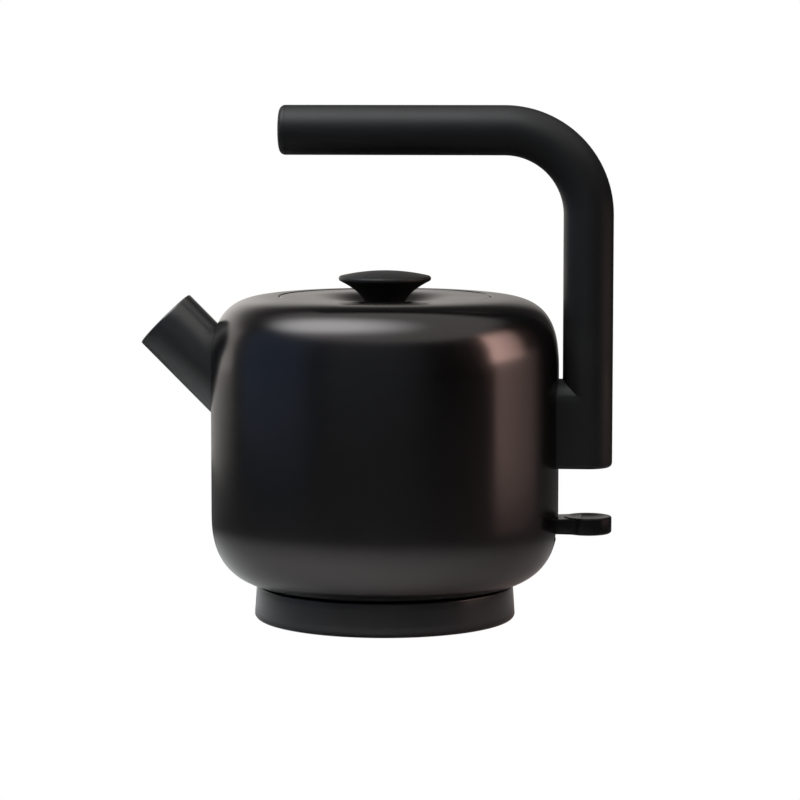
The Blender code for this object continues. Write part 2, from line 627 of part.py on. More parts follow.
def make_handle_block(parent):
    """The block between leg and body: a flat-sided bar with a half-round top."""
    half = BAR_RADIUS - 0.1 * MM
    corner = FOOT_ROUNDING - 0.1 * MM
    low = LEG_FOOT_Z
    outline = arc(0.0, BLOCK_TOP_Z - half, half, 0, 180, 12)
    outline += arc(corner - half, low + corner, corner, 180, 270, 3)
    outline += arc(half - corner, low + corner, corner, 270, 360, 3)
    bm = bmesh.new()
    inner_x = BODY_RADIUS - 6 * MM
    face = bm.faces.new([bm.verts.new((inner_x, across, height)) for across, height in outline])
    extend(bm, face, Vector((LEG_X - inner_x, 0, 0)))
    return keep(bm, "handle_block", parent)


def make_handle_fixings(parent, steel):
    outer = BODY_RADIUS - BODY_WALL - 0.5 * MM
    low = HANDLE_SCREW_Z[0] - BACKPLATE_MARGIN
    high = HANDLE_SCREW_Z[1] + BACKPLATE_MARGIN
    inner = outer - BACKPLATE_WALL
    ring = [(inner, low), (outer, low), (outer, high), (inner, high)]
    backplate = turned("handle_backplate", ring, parent, steel, BODY_STEPS)
    window = block("backplate_window", (70 * MM, -10 * MM, 60 * MM), (90 * MM, 10 * MM, 120 * MM), parent)
    shape_with(backplate, window, "INTERSECT")
    for index, height in enumerate(HANDLE_SCREW_Z):
        cut(backplate, handle_screw_bore(f"backplate_hole_{index + 1}", 70 * MM, 20 * MM, height, parent))
        seat = inner - 0.8 * MM
        name = f"handle_screw_{index + 1}"
        fixing = screw(name, steel, HANDLE_SCREW_RADIUS, 16 * MM, 4.5 * MM, 2.8 * MM, parent)
        at(fixing, (seat, 0, height), (0, math.radians(90), 0))


# ---- lid ----

def lid_dish(radius, drop=0.0):
    """Height of the dished lid at a radius."""
    edge = LID_RADIUS - 1.0 * MM
    return LID_RIM_Z - LID_DISH_DEPTH * (1 - (radius / edge) ** 2.2) - drop


def make_lid(parent, coating, plastic, rubber, black, steel):
    hole = KNOB_SCREW_RADIUS + GAP
    stations = [hole, 14 * MM, 28 * MM, 40 * MM]
    edge = LID_RADIUS - 1.0 * MM
    outline = [(radius, lid_dish(radius)) for radius in stations]
    outline += arc(edge, LID_RIM_Z - 1.0 * MM, 1.0 * MM, 90, 0, 2)
    skirt_z = LID_RIM_Z - 4.5 * MM
    outline += [(LID_RADIUS, skirt_z), (edge, skirt_z), (edge, LID_RIM_Z - 1.9 * MM)]
    outline += [(radius, lid_dish(radius, LID_WALL)) for radius in reversed(stations)]
    turned("lid_skin", outline, parent, coating)

    pan_top = lid_dish(0.0, LID_WALL) - GAP
    pan_low = pan_top - 1.5 * MM
    guide_z = LID_SEAT_Z - 4.5 * MM
    pan_radius = LID_RADIUS - 1.4 * MM
    collar = LID_RADIUS - 4.5 * MM
    collar_in = collar - 1.2 * MM
    pan = [(hole, pan_top), (pan_radius, pan_top), (pan_radius, pan_low), (collar, pan_low)]
    pan += [(collar, guide_z), (collar_in, guide_z), (collar_in, pan_low - GAP), (hole, pan_low)]
    turned("lid_pan", pan, parent, plastic)

    seal_low = LID_SEAT_Z + GAP
    seal_top = pan_low - GAP
    lip = LID_RADIUS - 0.9 * MM
    seal = [(collar + GAP, seal_low), (lip, seal_low), (LID_RADIUS, seal_low + 0.9 * MM)]
    seal += [(lip, seal_top), (collar + GAP, seal_top)]
    turned("lid_seal", seal, parent, rubber)

    make_knob(parent, black)
    fixing = screw("knob_screw", steel, KNOB_SCREW_RADIUS, 14 * MM, 4.2 * MM, 2.2 * MM, parent)
    at(fixing, (0, 0, pan_low - GAP))


def make_knob(parent, black):
    """A trumpet-shaped knob: a stem that flares to a round rim under a low dome."""
    stem_z = lid_dish(0.0) + GAP
    bore = KNOB_SCREW_RADIUS + GAP
    bore_top = stem_z + KNOB_BORE_DEPTH
    outline = [(0, bore_top), (bore, bore_top), (bore, stem_z)]
    rim = arc(KNOB_RADIUS - KNOB_RIM_ROUNDING, KNOB_RIM_Z, KNOB_RIM_ROUNDING, -60, 70, 4)
    flare_radius, flare_z = rim[0]
    steps = 6
    for step in range(steps):
        rise = step / steps
        radius = KNOB_STEM_RADIUS + (flare_radius - KNOB_STEM_RADIUS) * rise ** 2
        outline.append((radius, stem_z + (flare_z - stem_z) * rise))
    outline += rim
    shoulder, shoulder_z = rim[-1]
    for radius in (14 * MM, 7 * MM, 0.0):
        outline.append((radius, KNOB_TOP_Z - (KNOB_TOP_Z - shoulder_z) * (radius / shoulder) ** 2))
    turned("lid_knob", outline, parent, black)


# ---- switch ----

def make_switch(parent, gloss, plastic, steel):
    pivot_z = SWITCH_PIVOT.z
    low = PADDLE_LOW_Z - pivot_z
    top = PADDLE_TOP_Z - pivot_z
    reach = PADDLE_X - SWITCH_PIVOT.x
    chamfer = 1.4 * MM
    dish = PADDLE_DISH_RADIUS
    outline = [(0, low), (PADDLE_RADIUS - chamfer, low), (PADDLE_RADIUS, low + chamfer)]
    outline += [(PADDLE_RADIUS, top - chamfer), (PADDLE_RADIUS - 0.8 * MM, top - 0.2 * MM)]
    outline += [(dish + 0.8 * MM, top), (dish, top - 0.2 * MM), (dish * 0.5, top - 0.9 * MM)]
    outline += [(0, top - 1.1 * MM)]
    lever = turned("switch_lever", outline, parent, gloss, 28)
    lever.data.transform(Matrix.Translation((reach, 0, 0)))
    lever.location = SWITCH_PIVOT

    frame = empty("switch_axis", SWITCH_PIVOT, parent)
    neck_low = NECK_LOW_Z - pivot_z
    neck_top = NECK_TOP_Z - pivot_z
    neck_start = NECK_INNER_X - SWITCH_PIVOT.x
    bars = (("lever_neck", NECK_WIDTH, neck_start, 0.0), ("lever_arm", ARM_WIDTH, 0.0, GAP))
    for name, width, start, inset in bars:
        low_corner = (start, -width / 2, neck_low + inset)
        high_corner = (reach - 3 * MM - inset, width / 2, neck_top - inset)
        join(lever, block(name, low_corner, high_corner, frame))
    barrel = rod("lever_barrel", 4.4 * MM, -7.0 * MM, 7.0 * MM, frame)
    join(lever, at(barrel, (0, 0, 0), (math.radians(90), 0, 0)))
    trip_low = -PLUNGER_DROP - 2.2 * MM
    join(lever, block("lever_trip_arm", (-2.2 * MM, -3 * MM, trip_low), (2.2 * MM, 3 * MM, 0), frame))
    bore = rod("lever_bore", PIVOT_PIN_RADIUS + GAP, -10 * MM, 10 * MM, frame, steps=SCREW_STEPS)
    cut(lever, at(bore, (0, 0, 0), (math.radians(90), 0, 0)))

    pin = rod("switch_pivot_pin", PIVOT_PIN_RADIUS, -10.4 * MM, 10.4 * MM, parent, steel, SCREW_STEPS)
    at(pin, SWITCH_PIVOT, (math.radians(90), 0, 0))
    make_switch_frame(parent, plastic)

    rod_start = SWITCH_PIVOT.x - 2.2 * MM - GAP
    head = 2.6 * MM
    stem = 1.5 * MM
    outline = [(0, 0), (head, 0), (head, 1.2 * MM), (stem, 1.2 * MM), (stem, 40 * MM), (0, 40 * MM)]
    plunger = turned("switch_plunger", outline, parent, plastic, SCREW_STEPS)
    at(plunger, (rod_start, 0, pivot_z - PLUNGER_DROP), (0, math.radians(-90), 0))


def make_switch_frame(parent, plastic):
    """A bracket under the chamber floor that holds the pin and the steam cup."""
    top_z = PLATE_Z - 1.0 * MM - GAP
    under = top_z - 1.4 * MM
    frame = block("switch_frame", (54 * MM, -11 * MM, under), (72 * MM, 30.5 * MM, top_z), parent, plastic)
    cheek_in = 7.6 * MM
    cheek_out = 9.9 * MM
    for side in (-1, 1):
        low_y, high_y = sorted((side * cheek_in, side * cheek_out))
        cheek = block(f"frame_cheek_{'left' if side < 0 else 'right'}", (57 * MM, low_y, 42 * MM),
                      (67 * MM, high_y, top_z - 0.5 * MM), parent)
        join(frame, cheek)
    cup_in = 7.0 * MM
    cup_out = 8.2 * MM
    cup_top = top_z - 0.5 * MM
    cup = [(4.6 * MM, 43.2 * MM), (cup_out, 43.2 * MM), (cup_out, cup_top), (cup_in, cup_top)]
    cup += [(cup_in, 44.2 * MM), (4.6 * MM, 44.2 * MM)]
    place = (STEAM_X, STEAM_Y, 0)
    passage = rod("frame_passage", 6.9 * MM, 40 * MM, 60 * MM, parent, steps=24)
    cut(frame, at(passage, place))
    join(frame, at(turned("steam_cup", cup, parent, steps=24), place))
    pin_hole = rod("frame_pin_hole", PIVOT_PIN_RADIUS + GAP, -12 * MM, 12 * MM, parent, steps=SCREW_STEPS)
    cut(frame, at(pin_hole, SWITCH_PIVOT, (math.radians(90), 0, 0)))


def build():
    clear_scene()
    coating = finish("satin_gunmetal", (0.030, 0.028, 0.030), 0.30, 0.85)
    soft_black = finish("soft_touch_black", (0.012, 0.012, 0.013), 0.55)
    gloss_black = finish("gloss_black", (0.010, 0.010, 0.010), 0.12)
    base_black = finish("satin_black", (0.014, 0.014, 0.015), 0.35)
    inner_plastic = finish("inner_plastic", (0.030, 0.030, 0.032), 0.50)
    steel = finish("stainless_steel", (0.58, 0.57, 0.55), 0.28, 1.0)
    aluminium = finish("aluminium", (0.70, 0.70, 0.71), 0.40, 1.0)
    brass = finish("brass", (0.72, 0.52, 0.22), 0.30, 1.0)
    silicone = finish("silicone", (0.05, 0.05, 0.05), 0.65)

    base = empty("power_base")
    connector = empty("connector", parent=base)
    kettle = empty("kettle", parent=connector)
    lid = empty("lid", parent=kettle)

    make_base(base, base_black, inner_plastic, steel, brass, silicone)
    make_connector(connector, inner_plastic, brass)
    make_body_shell(kettle, coating)
    make_spout(kettle, soft_black, steel)
    make_chamber_floor(kettle, steel, aluminium, inner_plastic, brass)
    make_bottom_cover(kettle, inner_plastic, steel)
    make_handle(kettle, soft_black, steel)
    make_switch(kettle, gloss_black, inner_plastic, steel)
    make_lid(lid, coating, inner_plastic, silicone, soft_black, steel)


build()
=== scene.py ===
import json
import math

import bpy
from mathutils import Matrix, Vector


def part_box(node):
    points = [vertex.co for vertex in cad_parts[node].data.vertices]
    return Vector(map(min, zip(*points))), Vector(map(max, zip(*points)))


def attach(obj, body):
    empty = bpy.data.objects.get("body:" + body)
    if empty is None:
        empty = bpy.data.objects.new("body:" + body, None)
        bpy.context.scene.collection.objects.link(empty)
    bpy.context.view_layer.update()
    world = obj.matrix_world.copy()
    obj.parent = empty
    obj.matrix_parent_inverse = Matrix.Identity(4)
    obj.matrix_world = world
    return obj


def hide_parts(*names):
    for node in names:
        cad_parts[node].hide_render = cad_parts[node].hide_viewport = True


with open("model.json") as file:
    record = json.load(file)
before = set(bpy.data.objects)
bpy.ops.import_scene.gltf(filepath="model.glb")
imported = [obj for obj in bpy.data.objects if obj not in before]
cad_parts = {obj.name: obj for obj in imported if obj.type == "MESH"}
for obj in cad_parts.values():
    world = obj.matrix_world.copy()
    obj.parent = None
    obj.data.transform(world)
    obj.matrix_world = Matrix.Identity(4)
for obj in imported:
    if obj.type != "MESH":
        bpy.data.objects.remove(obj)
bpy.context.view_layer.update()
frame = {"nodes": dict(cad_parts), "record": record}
mm = 0.001
print("frame loaded with", len(frame["nodes"]), "nodes")


# small helpers for working in object and edit mode

def deselectAll():
    if bpy.context.object and bpy.context.object.mode != "OBJECT":
        bpy.ops.object.mode_set(mode="OBJECT")
    bpy.ops.object.select_all(action="DESELECT")


def makeActive(piece):
    deselectAll()
    piece.select_set(True)
    bpy.context.view_layer.objects.active = piece


def editAll(piece):
    makeActive(piece)
    bpy.ops.object.mode_set(mode="EDIT")
    bpy.ops.mesh.select_mode(type="VERT")
    bpy.ops.mesh.select_all(action="SELECT")


def pickVerts(piece, test):
    # leaves edit mode on, with only the wanted points selected
    makeActive(piece)
    bpy.ops.object.mode_set(mode="EDIT")
    bpy.ops.mesh.select_mode(type="VERT")
    bpy.ops.mesh.select_all(action="DESELECT")
    bpy.ops.object.mode_set(mode="OBJECT")
    for vert in piece.data.vertices:
        vert.select = test(vert.co)
    bpy.ops.object.mode_set(mode="EDIT")


def pickEdges(piece, test):
    makeActive(piece)
    bpy.ops.object.mode_set(mode="EDIT")
    bpy.ops.mesh.select_mode(type="EDGE")
    bpy.ops.mesh.select_all(action="DESELECT")
    bpy.ops.object.mode_set(mode="OBJECT")
    points = piece.data.vertices
    for edge in piece.data.edges:
        edge.select = test(points[edge.vertices[0]].co, points[edge.vertices[1]].co)
    bpy.ops.object.mode_set(mode="EDIT")


def applyPlace(piece):
    makeActive(piece)
    bpy.ops.object.transform_apply(location=True, rotation=True, scale=True)


def useModifier(piece, kind, **settings):
    makeActive(piece)
    modifier = piece.modifiers.new(kind.lower(), kind)
    for setting, value in settings.items():
        setattr(modifier, setting, value)
    bpy.ops.object.modifier_apply(modifier=modifier.name)


def cutWith(piece, tool, operation="DIFFERENCE", keepTool=False):
    useModifier(piece, "BOOLEAN", object=tool, operation=operation, solver="EXACT")
    if not keepTool:
        bpy.data.objects.remove(tool)


def finishShape(piece, angle=30):
    editAll(piece)
    bpy.ops.mesh.remove_doubles(threshold=0.00001)
    bpy.ops.mesh.normals_make_consistent(inside=False)
    bpy.ops.object.mode_set(mode="OBJECT")
    makeActive(piece)
    bpy.ops.object.shade_smooth_by_angle(angle=math.radians(angle))


def place(piece, body, nodes, look):
    piece.data.materials.clear()
    piece.data.materials.append(look)
    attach(piece, body)
    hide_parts(*nodes)


def turnInto(piece, turn, location):
    # turned by degrees about x, y and z, then set in its place
    piece.rotation_euler = [math.radians(angle) for angle in turn]
    piece.location = location
    applyPlace(piece)


def arcPoints(centreR, centreZ, radius, start, end, steps):
    # round stretch of an outline, angles in degrees from +r up to +z
    angles = [math.radians(start + (end - start) * step / steps) for step in range(steps + 1)]
    return [(centreR + radius * math.cos(a), centreZ + radius * math.sin(a)) for a in angles]


def extrudeBy(x, y, z):
    bpy.ops.mesh.extrude_region_move(TRANSFORM_OT_translate={"value": (x, y, z)})


def extrudeRings(rings, x=0.0):
    # the open end goes on from ring to ring, as (radius, height), round an upright axis at x
    for (radius, height), (nextRadius, nextHeight) in zip(rings, rings[1:]):
        extrudeBy(0, 0, nextHeight - height)
        grow = nextRadius / radius
        bpy.ops.transform.resize(value=(grow, grow, 1), center_override=(x, 0, nextHeight))


def turnRings(name, rings, segments=128, closed=True):
    deselectAll()
    startRadius, startHeight = rings[0]
    bpy.ops.mesh.primitive_circle_add(vertices=segments, radius=startRadius,
                                      location=(0, 0, startHeight))
    piece = bpy.context.object
    piece.name = name
    applyPlace(piece)
    editAll(piece)
    extrudeRings(rings)
    if closed:
        bpy.ops.mesh.select_all(action="DESELECT")
        bpy.ops.mesh.select_mode(type="EDGE")
        bpy.ops.mesh.select_non_manifold()
        bpy.ops.mesh.bridge_edge_loops()
    bpy.ops.object.mode_set(mode="OBJECT")
    return piece


poleRadius = 0.3 * mm  # the small ring that a turned piece ends in at its axis


def closePole(piece, height):
    # the ring at the axis is drawn together into one point
    nearAxis = poleRadius * 1.5
    nearHeight = 0.05 * mm
    pickVerts(piece, lambda co: co.xy.length < nearAxis and abs(co.z - height) < nearHeight)
    bpy.ops.mesh.merge(type="CENTER")
    bpy.ops.object.mode_set(mode="OBJECT")


def addBox(name, low, high):
    deselectAll()
    middle = (Vector(low) + Vector(high)) / 2
    size = Vector(high) - Vector(low)
    bpy.ops.mesh.primitive_cube_add(size=1, location=middle)
    box = bpy.context.object
    box.name = name
    box.scale = size
    applyPlace(box)
    return box


def addPost(name, radius, low, high, x=0.0, y=0.0, vertices=64):
    deselectAll()
    bpy.ops.mesh.primitive_cylinder_add(vertices=vertices, radius=radius, depth=high - low,
                                        location=(x, y, (low + high) / 2))
    post = bpy.context.object
    post.name = name
    applyPlace(post)
    return post


def roundEdges(piece, radius, segments, test):
    pickEdges(piece, test)
    bpy.ops.mesh.bevel(offset=radius, segments=segments, affect="EDGES")
    bpy.ops.object.mode_set(mode="OBJECT")


def alongX(a, b):
    # true for the long edges of a small box that lies along x
    return abs(a.x - b.x) > 5 * mm


# finishes

mixFirst, mixSecond, mixResult = 6, 7, 2  # colour sockets of a Mix node
dustColour = (0.30, 0.28, 0.26)


def newLook(name):
    look = bpy.data.materials.new(name)
    look.use_nodes = True
    tree = look.node_tree
    return look, tree, tree.nodes["Principled BSDF"]


def addNode(tree, kind, x=0, y=0, **values):
    node = tree.nodes.new(kind)
    node.location = (x, y)
    for key, value in values.items():
        node.inputs[key.replace("_", " ")].default_value = value
    return node


def newGroup(name, inputs, outputs):
    group = bpy.data.node_groups.new(name, "ShaderNodeTree")
    face = group.interface
    face.new_socket("Vector", in_out="INPUT", socket_type="NodeSocketVector")
    for socket, value in inputs.items():
        number = face.new_socket(socket, in_out="INPUT", socket_type="NodeSocketFloat")
        number.default_value = value
    for socket in outputs:
        face.new_socket(socket, in_out="OUTPUT", socket_type="NodeSocketFloat")
    start = addNode(group, "NodeGroupInput", -900)
    end = addNode(group, "NodeGroupOutput", 600)
    return group, start, end


def multiply(tree, x, y):
    node = addNode(tree, "ShaderNodeMath", x, y)
    node.operation = "MULTIPLY"
    return node


def makeGrainGroup():
    # fine even grain of a moulded or sprayed surface
    inputs = {"Size": 900.0, "Depth": 1.0}
    group, start, end = newGroup("fineGrain", inputs, ("Height", "Mask"))
    fine = addNode(group, "ShaderNodeTexNoise", -500, 150, Detail=2.0, Roughness=0.6)
    pebble = addNode(group, "ShaderNodeTexVoronoi", -500, -150)
    mix = multiply(group, -200, 50)
    depth = multiply(group, 100, 50)
    link = group.links.new
    link(start.outputs["Vector"], fine.inputs["Vector"])
    link(start.outputs["Vector"], pebble.inputs["Vector"])
    link(start.outputs["Size"], fine.inputs["Scale"])
    link(start.outputs["Size"], pebble.inputs["Scale"])
    link(fine.outputs["Fac"], mix.inputs[0])
    link(pebble.outputs["Distance"], mix.inputs[1])
    link(mix.outputs[0], depth.inputs[0])
    link(start.outputs["Depth"], depth.inputs[1])
    link(depth.outputs[0], end.inputs["Height"])
    link(fine.outputs["Fac"], end.inputs["Mask"])
    return group


def makeSmudgeGroup():
    # broad soft patches left by wiping and by hands
    inputs = {"Size": 18.0, "Low": 0.2, "High": 0.3}
    group, start, end = newGroup("wipeMarks", inputs, ("Value", "Mask"))
    cloud = addNode(group, "ShaderNodeTexNoise", -500, 100, Detail=5.0, Roughness=0.55,
                    Distortion=0.6)
    spread = addNode(group, "ShaderNodeMapRange", -100, 100, From_Min=0.32, From_Max=0.68)
    spread.interpolation_type = "SMOOTHSTEP"
    link = group.links.new
    link(start.outputs["Vector"], cloud.inputs["Vector"])
    link(start.outputs["Size"], cloud.inputs["Scale"])
    link(cloud.outputs["Fac"], spread.inputs["Value"])
    link(start.outputs["Low"], spread.inputs["To Min"])
    link(start.outputs["High"], spread.inputs["To Max"])
    link(spread.outputs["Result"], end.inputs["Value"])
    link(cloud.outputs["Fac"], end.inputs["Mask"])
    return group


def makeDustGroup():
    # a thin film of dust that lies on what faces up
    group, start, end = newGroup("settledDust", {"Amount": 0.05}, ("Mask",))
    facing = addNode(group, "ShaderNodeNewGeometry", -900, -200)
    split = addNode(group, "ShaderNodeSeparateXYZ", -700, -200)
    upward = addNode(group, "ShaderNodeMapRange", -450, -200, From_Min=0.35, From_Max=1.0)
    speck = addNode(group, "ShaderNodeTexNoise", -600, 150, Scale=420.0, Detail=3.0)
    sparse = addNode(group, "ShaderNodeMapRange", -350, 150, From_Min=0.52, From_Max=0.72)
    both = multiply(group, -100, 0)
    amount = multiply(group, 200, 0)
    link = group.links.new
    link(facing.outputs["Normal"], split.inputs[0])
    link(split.outputs["Z"], upward.inputs["Value"])
    link(start.outputs["Vector"], speck.inputs["Vector"])
    link(speck.outputs["Fac"], sparse.inputs["Value"])
    link(upward.outputs["Result"], both.inputs[0])
    link(sparse.outputs["Result"], both.inputs[1])
    link(both.outputs[0], amount.inputs[0])
    link(start.outputs["Amount"], amount.inputs[1])
    link(amount.outputs[0], end.inputs["Mask"])
    return group


grainGroup = makeGrainGroup()
smudgeGroup = makeSmudgeGroup()
dustGroup = makeDustGroup()


def useGroup(tree, group, x, y, **values):
    node = tree.nodes.new("ShaderNodeGroup")
    node.node_tree = group
    node.location = (x, y)
    for key, value in values.items():
        node.inputs[key].default_value = value
    return node


def wipeMarks(tree, x, y, plan):
    return useGroup(tree, smudgeGroup, x, y, Size=plan["smudgeSize"], Low=plan["glossLow"],
                    High=plan["glossHigh"])


def twoTones(tree, x, y, plan):
    tones = addNode(tree, "ShaderNodeMix", x, y)
    tones.data_type = "RGBA"
    tones.inputs[mixFirst].default_value = (*plan["colour"], 1)
    tones.inputs[mixSecond].default_value = (*plan["colourTwo"], 1)
    return tones


def surfaceBump(tree, x, y, plan):
    return addNode(tree, "ShaderNodeBump", x, y, Strength=plan["bump"], Distance=plan["bumpDepth"])


def paintLook(name, plan):
    # coated and moulded pieces: two close colours, wipe marks in the gloss, grain in the bump
    look, tree, shader = newLook(name)
    link = tree.links.new
    spot = addNode(tree, "ShaderNodeTexCoord", -1400, 0)
    smudge = wipeMarks(tree, -1100, 200, plan)
    grain = useGroup(tree, grainGroup, -1100, -200, Size=plan["grainSize"], Depth=1.0)
    dust = useGroup(tree, dustGroup, -1100, 500, Amount=plan["dust"])
    tones = twoTones(tree, -700, 300, plan)
    dusty = addNode(tree, "ShaderNodeMix", -450, 300)
    dusty.data_type = "RGBA"
    dusty.inputs[mixSecond].default_value = (*dustColour, 1)
    bump = surfaceBump(tree, -400, -200, plan)
    for group in (smudge, grain, dust):
        link(spot.outputs["Object"], group.inputs["Vector"])
    link(smudge.outputs["Mask"], tones.inputs[0])
    link(tones.outputs[mixResult], dusty.inputs[mixFirst])
    link(dust.outputs["Mask"], dusty.inputs[0])
    link(dusty.outputs[mixResult], shader.inputs["Base Color"])
    link(smudge.outputs["Value"], shader.inputs["Roughness"])
    link(grain.outputs["Height"], bump.inputs["Height"])
    link(bump.outputs["Normal"], shader.inputs["Normal"])
    shader.inputs["Metallic"].default_value = plan["metallic"]
    shader.inputs["Specular IOR Level"].default_value = plan["specular"]
    return look


def brushedLook(name, plan):
    # metal with long streaks in its colour and bump, and wipe marks in its gloss
    look, tree, shader = newLook(name)
    link = tree.links.new
    spot = addNode(tree, "ShaderNodeTexCoord", -1400, 0)
    stretch = addNode(tree, "ShaderNodeMapping", -1150, 0)
    stretch.inputs["Scale"].default_value = plan["stretch"]
    streak = addNode(tree, "ShaderNodeTexNoise", -900, 0, Scale=plan["streakSize"], Detail=6.0,
                     Roughness=0.7)
    smudge = wipeMarks(tree, -900, 300, plan)
    tones = twoTones(tree, -500, 200, plan)
    bump = surfaceBump(tree, -400, -200, plan)
    link(spot.outputs["Object"], stretch.inputs["Vector"])
    link(spot.outputs["Object"], smudge.inputs["Vector"])
    link(stretch.outputs["Vector"], streak.inputs["Vector"])
    link(streak.outputs["Fac"], tones.inputs[0])
    link(tones.outputs[mixResult], shader.inputs["Base Color"])
    link(smudge.outputs["Value"], shader.inputs["Roughness"])
    link(streak.outputs["Fac"], bump.inputs["Height"])
    link(bump.outputs["Normal"], shader.inputs["Normal"])
    shader.inputs["Metallic"].default_value = 1.0
    return look


coatingPlan = {"colour": (0.056, 0.053, 0.053), "colourTwo": (0.064, 0.060, 0.060),
               "metallic": 1.0, "specular": 0.5, "smudgeSize": 14, "glossLow": 0.19,
               "glossHigh": 0.23, "grainSize": 2600, "bump": 0.05, "bumpDepth": 0.05 * mm,
               "dust": 0.01}
softPlan = {"colour": (0.008, 0.008, 0.0085), "colourTwo": (0.011, 0.011, 0.0115),
            "metallic": 0.0, "specular": 0.32, "smudgeSize": 22, "glossLow": 0.44,
            "glossHigh": 0.52, "grainSize": 2200, "bump": 0.12, "bumpDepth": 0.1 * mm,
            "dust": 0.01}
spoutLookPlan = {"colour": (0.010, 0.010, 0.0105), "colourTwo": (0.013, 0.013, 0.0135),
                 "metallic": 0.0, "specular": 0.85, "smudgeSize": 26, "glossLow": 0.29,
                 "glossHigh": 0.34, "grainSize": 2200, "bump": 0.08, "bumpDepth": 0.08 * mm,
                 "dust": 0.01}
glossPlan = {"colour": (0.006, 0.006, 0.006), "colourTwo": (0.008, 0.008, 0.008),
             "metallic": 0.0, "specular": 0.14, "smudgeSize": 60, "glossLow": 0.22,
             "glossHigh": 0.30, "grainSize": 900, "bump": 0.02, "bumpDepth": 0.04 * mm,
             "dust": 0.01}
baseLookPlan = {"colour": (0.006, 0.006, 0.0065), "colourTwo": (0.008, 0.008, 0.0085),
                "metallic": 0.0, "specular": 0.38, "smudgeSize": 20, "glossLow": 0.20,
                "glossHigh": 0.26, "grainSize": 1800, "bump": 0.06, "bumpDepth": 0.06 * mm,
                "dust": 0.01}
innerPlan = {"colour": (0.030, 0.030, 0.032), "colourTwo": (0.040, 0.040, 0.042),
             "metallic": 0.0, "specular": 0.4, "smudgeSize": 30, "glossLow": 0.42,
             "glossHigh": 0.55, "grainSize": 1200, "bump": 0.2, "bumpDepth": 0.1 * mm,
             "dust": 0.04}
siliconePlan = {"colour": (0.020, 0.020, 0.021), "colourTwo": (0.028, 0.028, 0.029),
                "metallic": 0.0, "specular": 0.35, "smudgeSize": 40, "glossLow": 0.58,
                "glossHigh": 0.72, "grainSize": 1500, "bump": 0.25, "bumpDepth": 0.1 * mm,
                "dust": 0.05}
steelPlan = {"colour": (0.46, 0.45, 0.43), "colourTwo": (0.60, 0.59, 0.57),
             "stretch": (1, 1, 26), "streakSize": 60, "smudgeSize": 25, "glossLow": 0.20,
             "glossHigh": 0.32, "bump": 0.15, "bumpDepth": 0.05 * mm}
aluminiumPlan = {"colour": (0.60, 0.60, 0.61), "colourTwo": (0.74, 0.74, 0.75),
                 "stretch": (30, 1, 1), "streakSize": 40, "smudgeSize": 20, "glossLow": 0.34,
                 "glossHigh": 0.46, "bump": 0.2, "bumpDepth": 0.08 * mm}
brassPlan = {"colour": (0.60, 0.40, 0.16), "colourTwo": (0.78, 0.58, 0.28),
             "stretch": (1, 1, 18), "streakSize": 90, "smudgeSize": 60, "glossLow": 0.22,
             "glossHigh": 0.38, "bump": 0.15, "bumpDepth": 0.05 * mm}

looks = {
    "body_coating": paintLook("satinGunmetal", coatingPlan),
    "soft_black": paintLook("softTouchBlack", softPlan),
    "spout_black": paintLook("spoutSatin", spoutLookPlan),
    "gloss_black": paintLook("polishedBlack", glossPlan),
    "base_black": paintLook("satinBlack", baseLookPlan),
    "inner_plastic": paintLook("mouldedPlastic", innerPlan),
    "silicone": paintLook("blackSilicone", siliconePlan),
    "stainless": brushedLook("drawnStainless", steelPlan),
    "aluminium": brushedLook("rolledAluminium", aluminiumPlan),
    "brass": brushedLook("contactBrass", brassPlan),
}
for entry in frame["record"]["subparts"]:
    node = frame["nodes"][entry["node"]]
    node.data.materials.clear()
    node.data.materials.append(looks[entry["material_slot"]])
print("finishes made:", len(looks))


# body shell

bodyLow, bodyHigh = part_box("body_shell")
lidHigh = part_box("lid_skin")[1]
bodyPlan = {"radius": bodyHigh.x, "wall": 1.0 * mm, "segments": 192, "footZ": bodyLow.z,
            "footFlat": 49.2 * mm, "footPower": 2.55, "sideLowZ": 51.9 * mm,
            "sideHighZ": 115.6 * mm, "sideSteps": 8, "crownZ": bodyHigh.z,
            "crownFlat": 47.8 * mm, "shoulderPower": 3.2, "lipRadius": 52.2 * mm,
            "lipTopZ": 19.6 * mm, "lipRound": 0.2 * mm, "neck": lidHigh.x + 0.3 * mm,
            "neckRound": 0.7 * mm, "neckDrop": 0.02 * mm, "neckMiddleZ": 150 * mm,
            "seatZ": 144.5 * mm, "seatRadius": 47.5 * mm}
# the whole outside of the body as one closed solid, to cope what meets it
solidPlan = {"gap": 0.05 * mm, "centre": 1 * mm, "footLimit": 50 * mm, "crownLimit": 48 * mm,
             "steps": 24}


def softCorner(sideR, sideZ, flatR, flatZ, power, steps):
    # superellipse from an upright side round to a level face
    points = []
    for step in range(steps + 1):
        angle = math.radians(90) * step / steps
        across = flatR + (sideR - flatR) * max(0.0, math.cos(angle)) ** (2 / power)
        along = sideZ + (flatZ - sideZ) * math.sin(angle) ** (2 / power)
        points.append((across, along))
    return points


def bodyOutline(offset, steps, footLimit, crownLimit):
    p = bodyPlan
    side = p["radius"] + offset
    lowZ = p["sideLowZ"]
    highZ = p["sideHighZ"]
    count = p["sideSteps"]
    foot = softCorner(side, lowZ, p["footFlat"], p["footZ"] - offset, p["footPower"], steps)
    crown = softCorner(side, highZ, p["crownFlat"], p["crownZ"] + offset, p["shoulderPower"], steps)
    lower = [point for point in reversed(foot) if point[0] > footLimit]
    upper = [point for point in crown if point[0] > crownLimit]
    straight = [(side, lowZ + (highZ - lowZ) * part / count) for part in range(1, count)]
    return lower + straight + upper


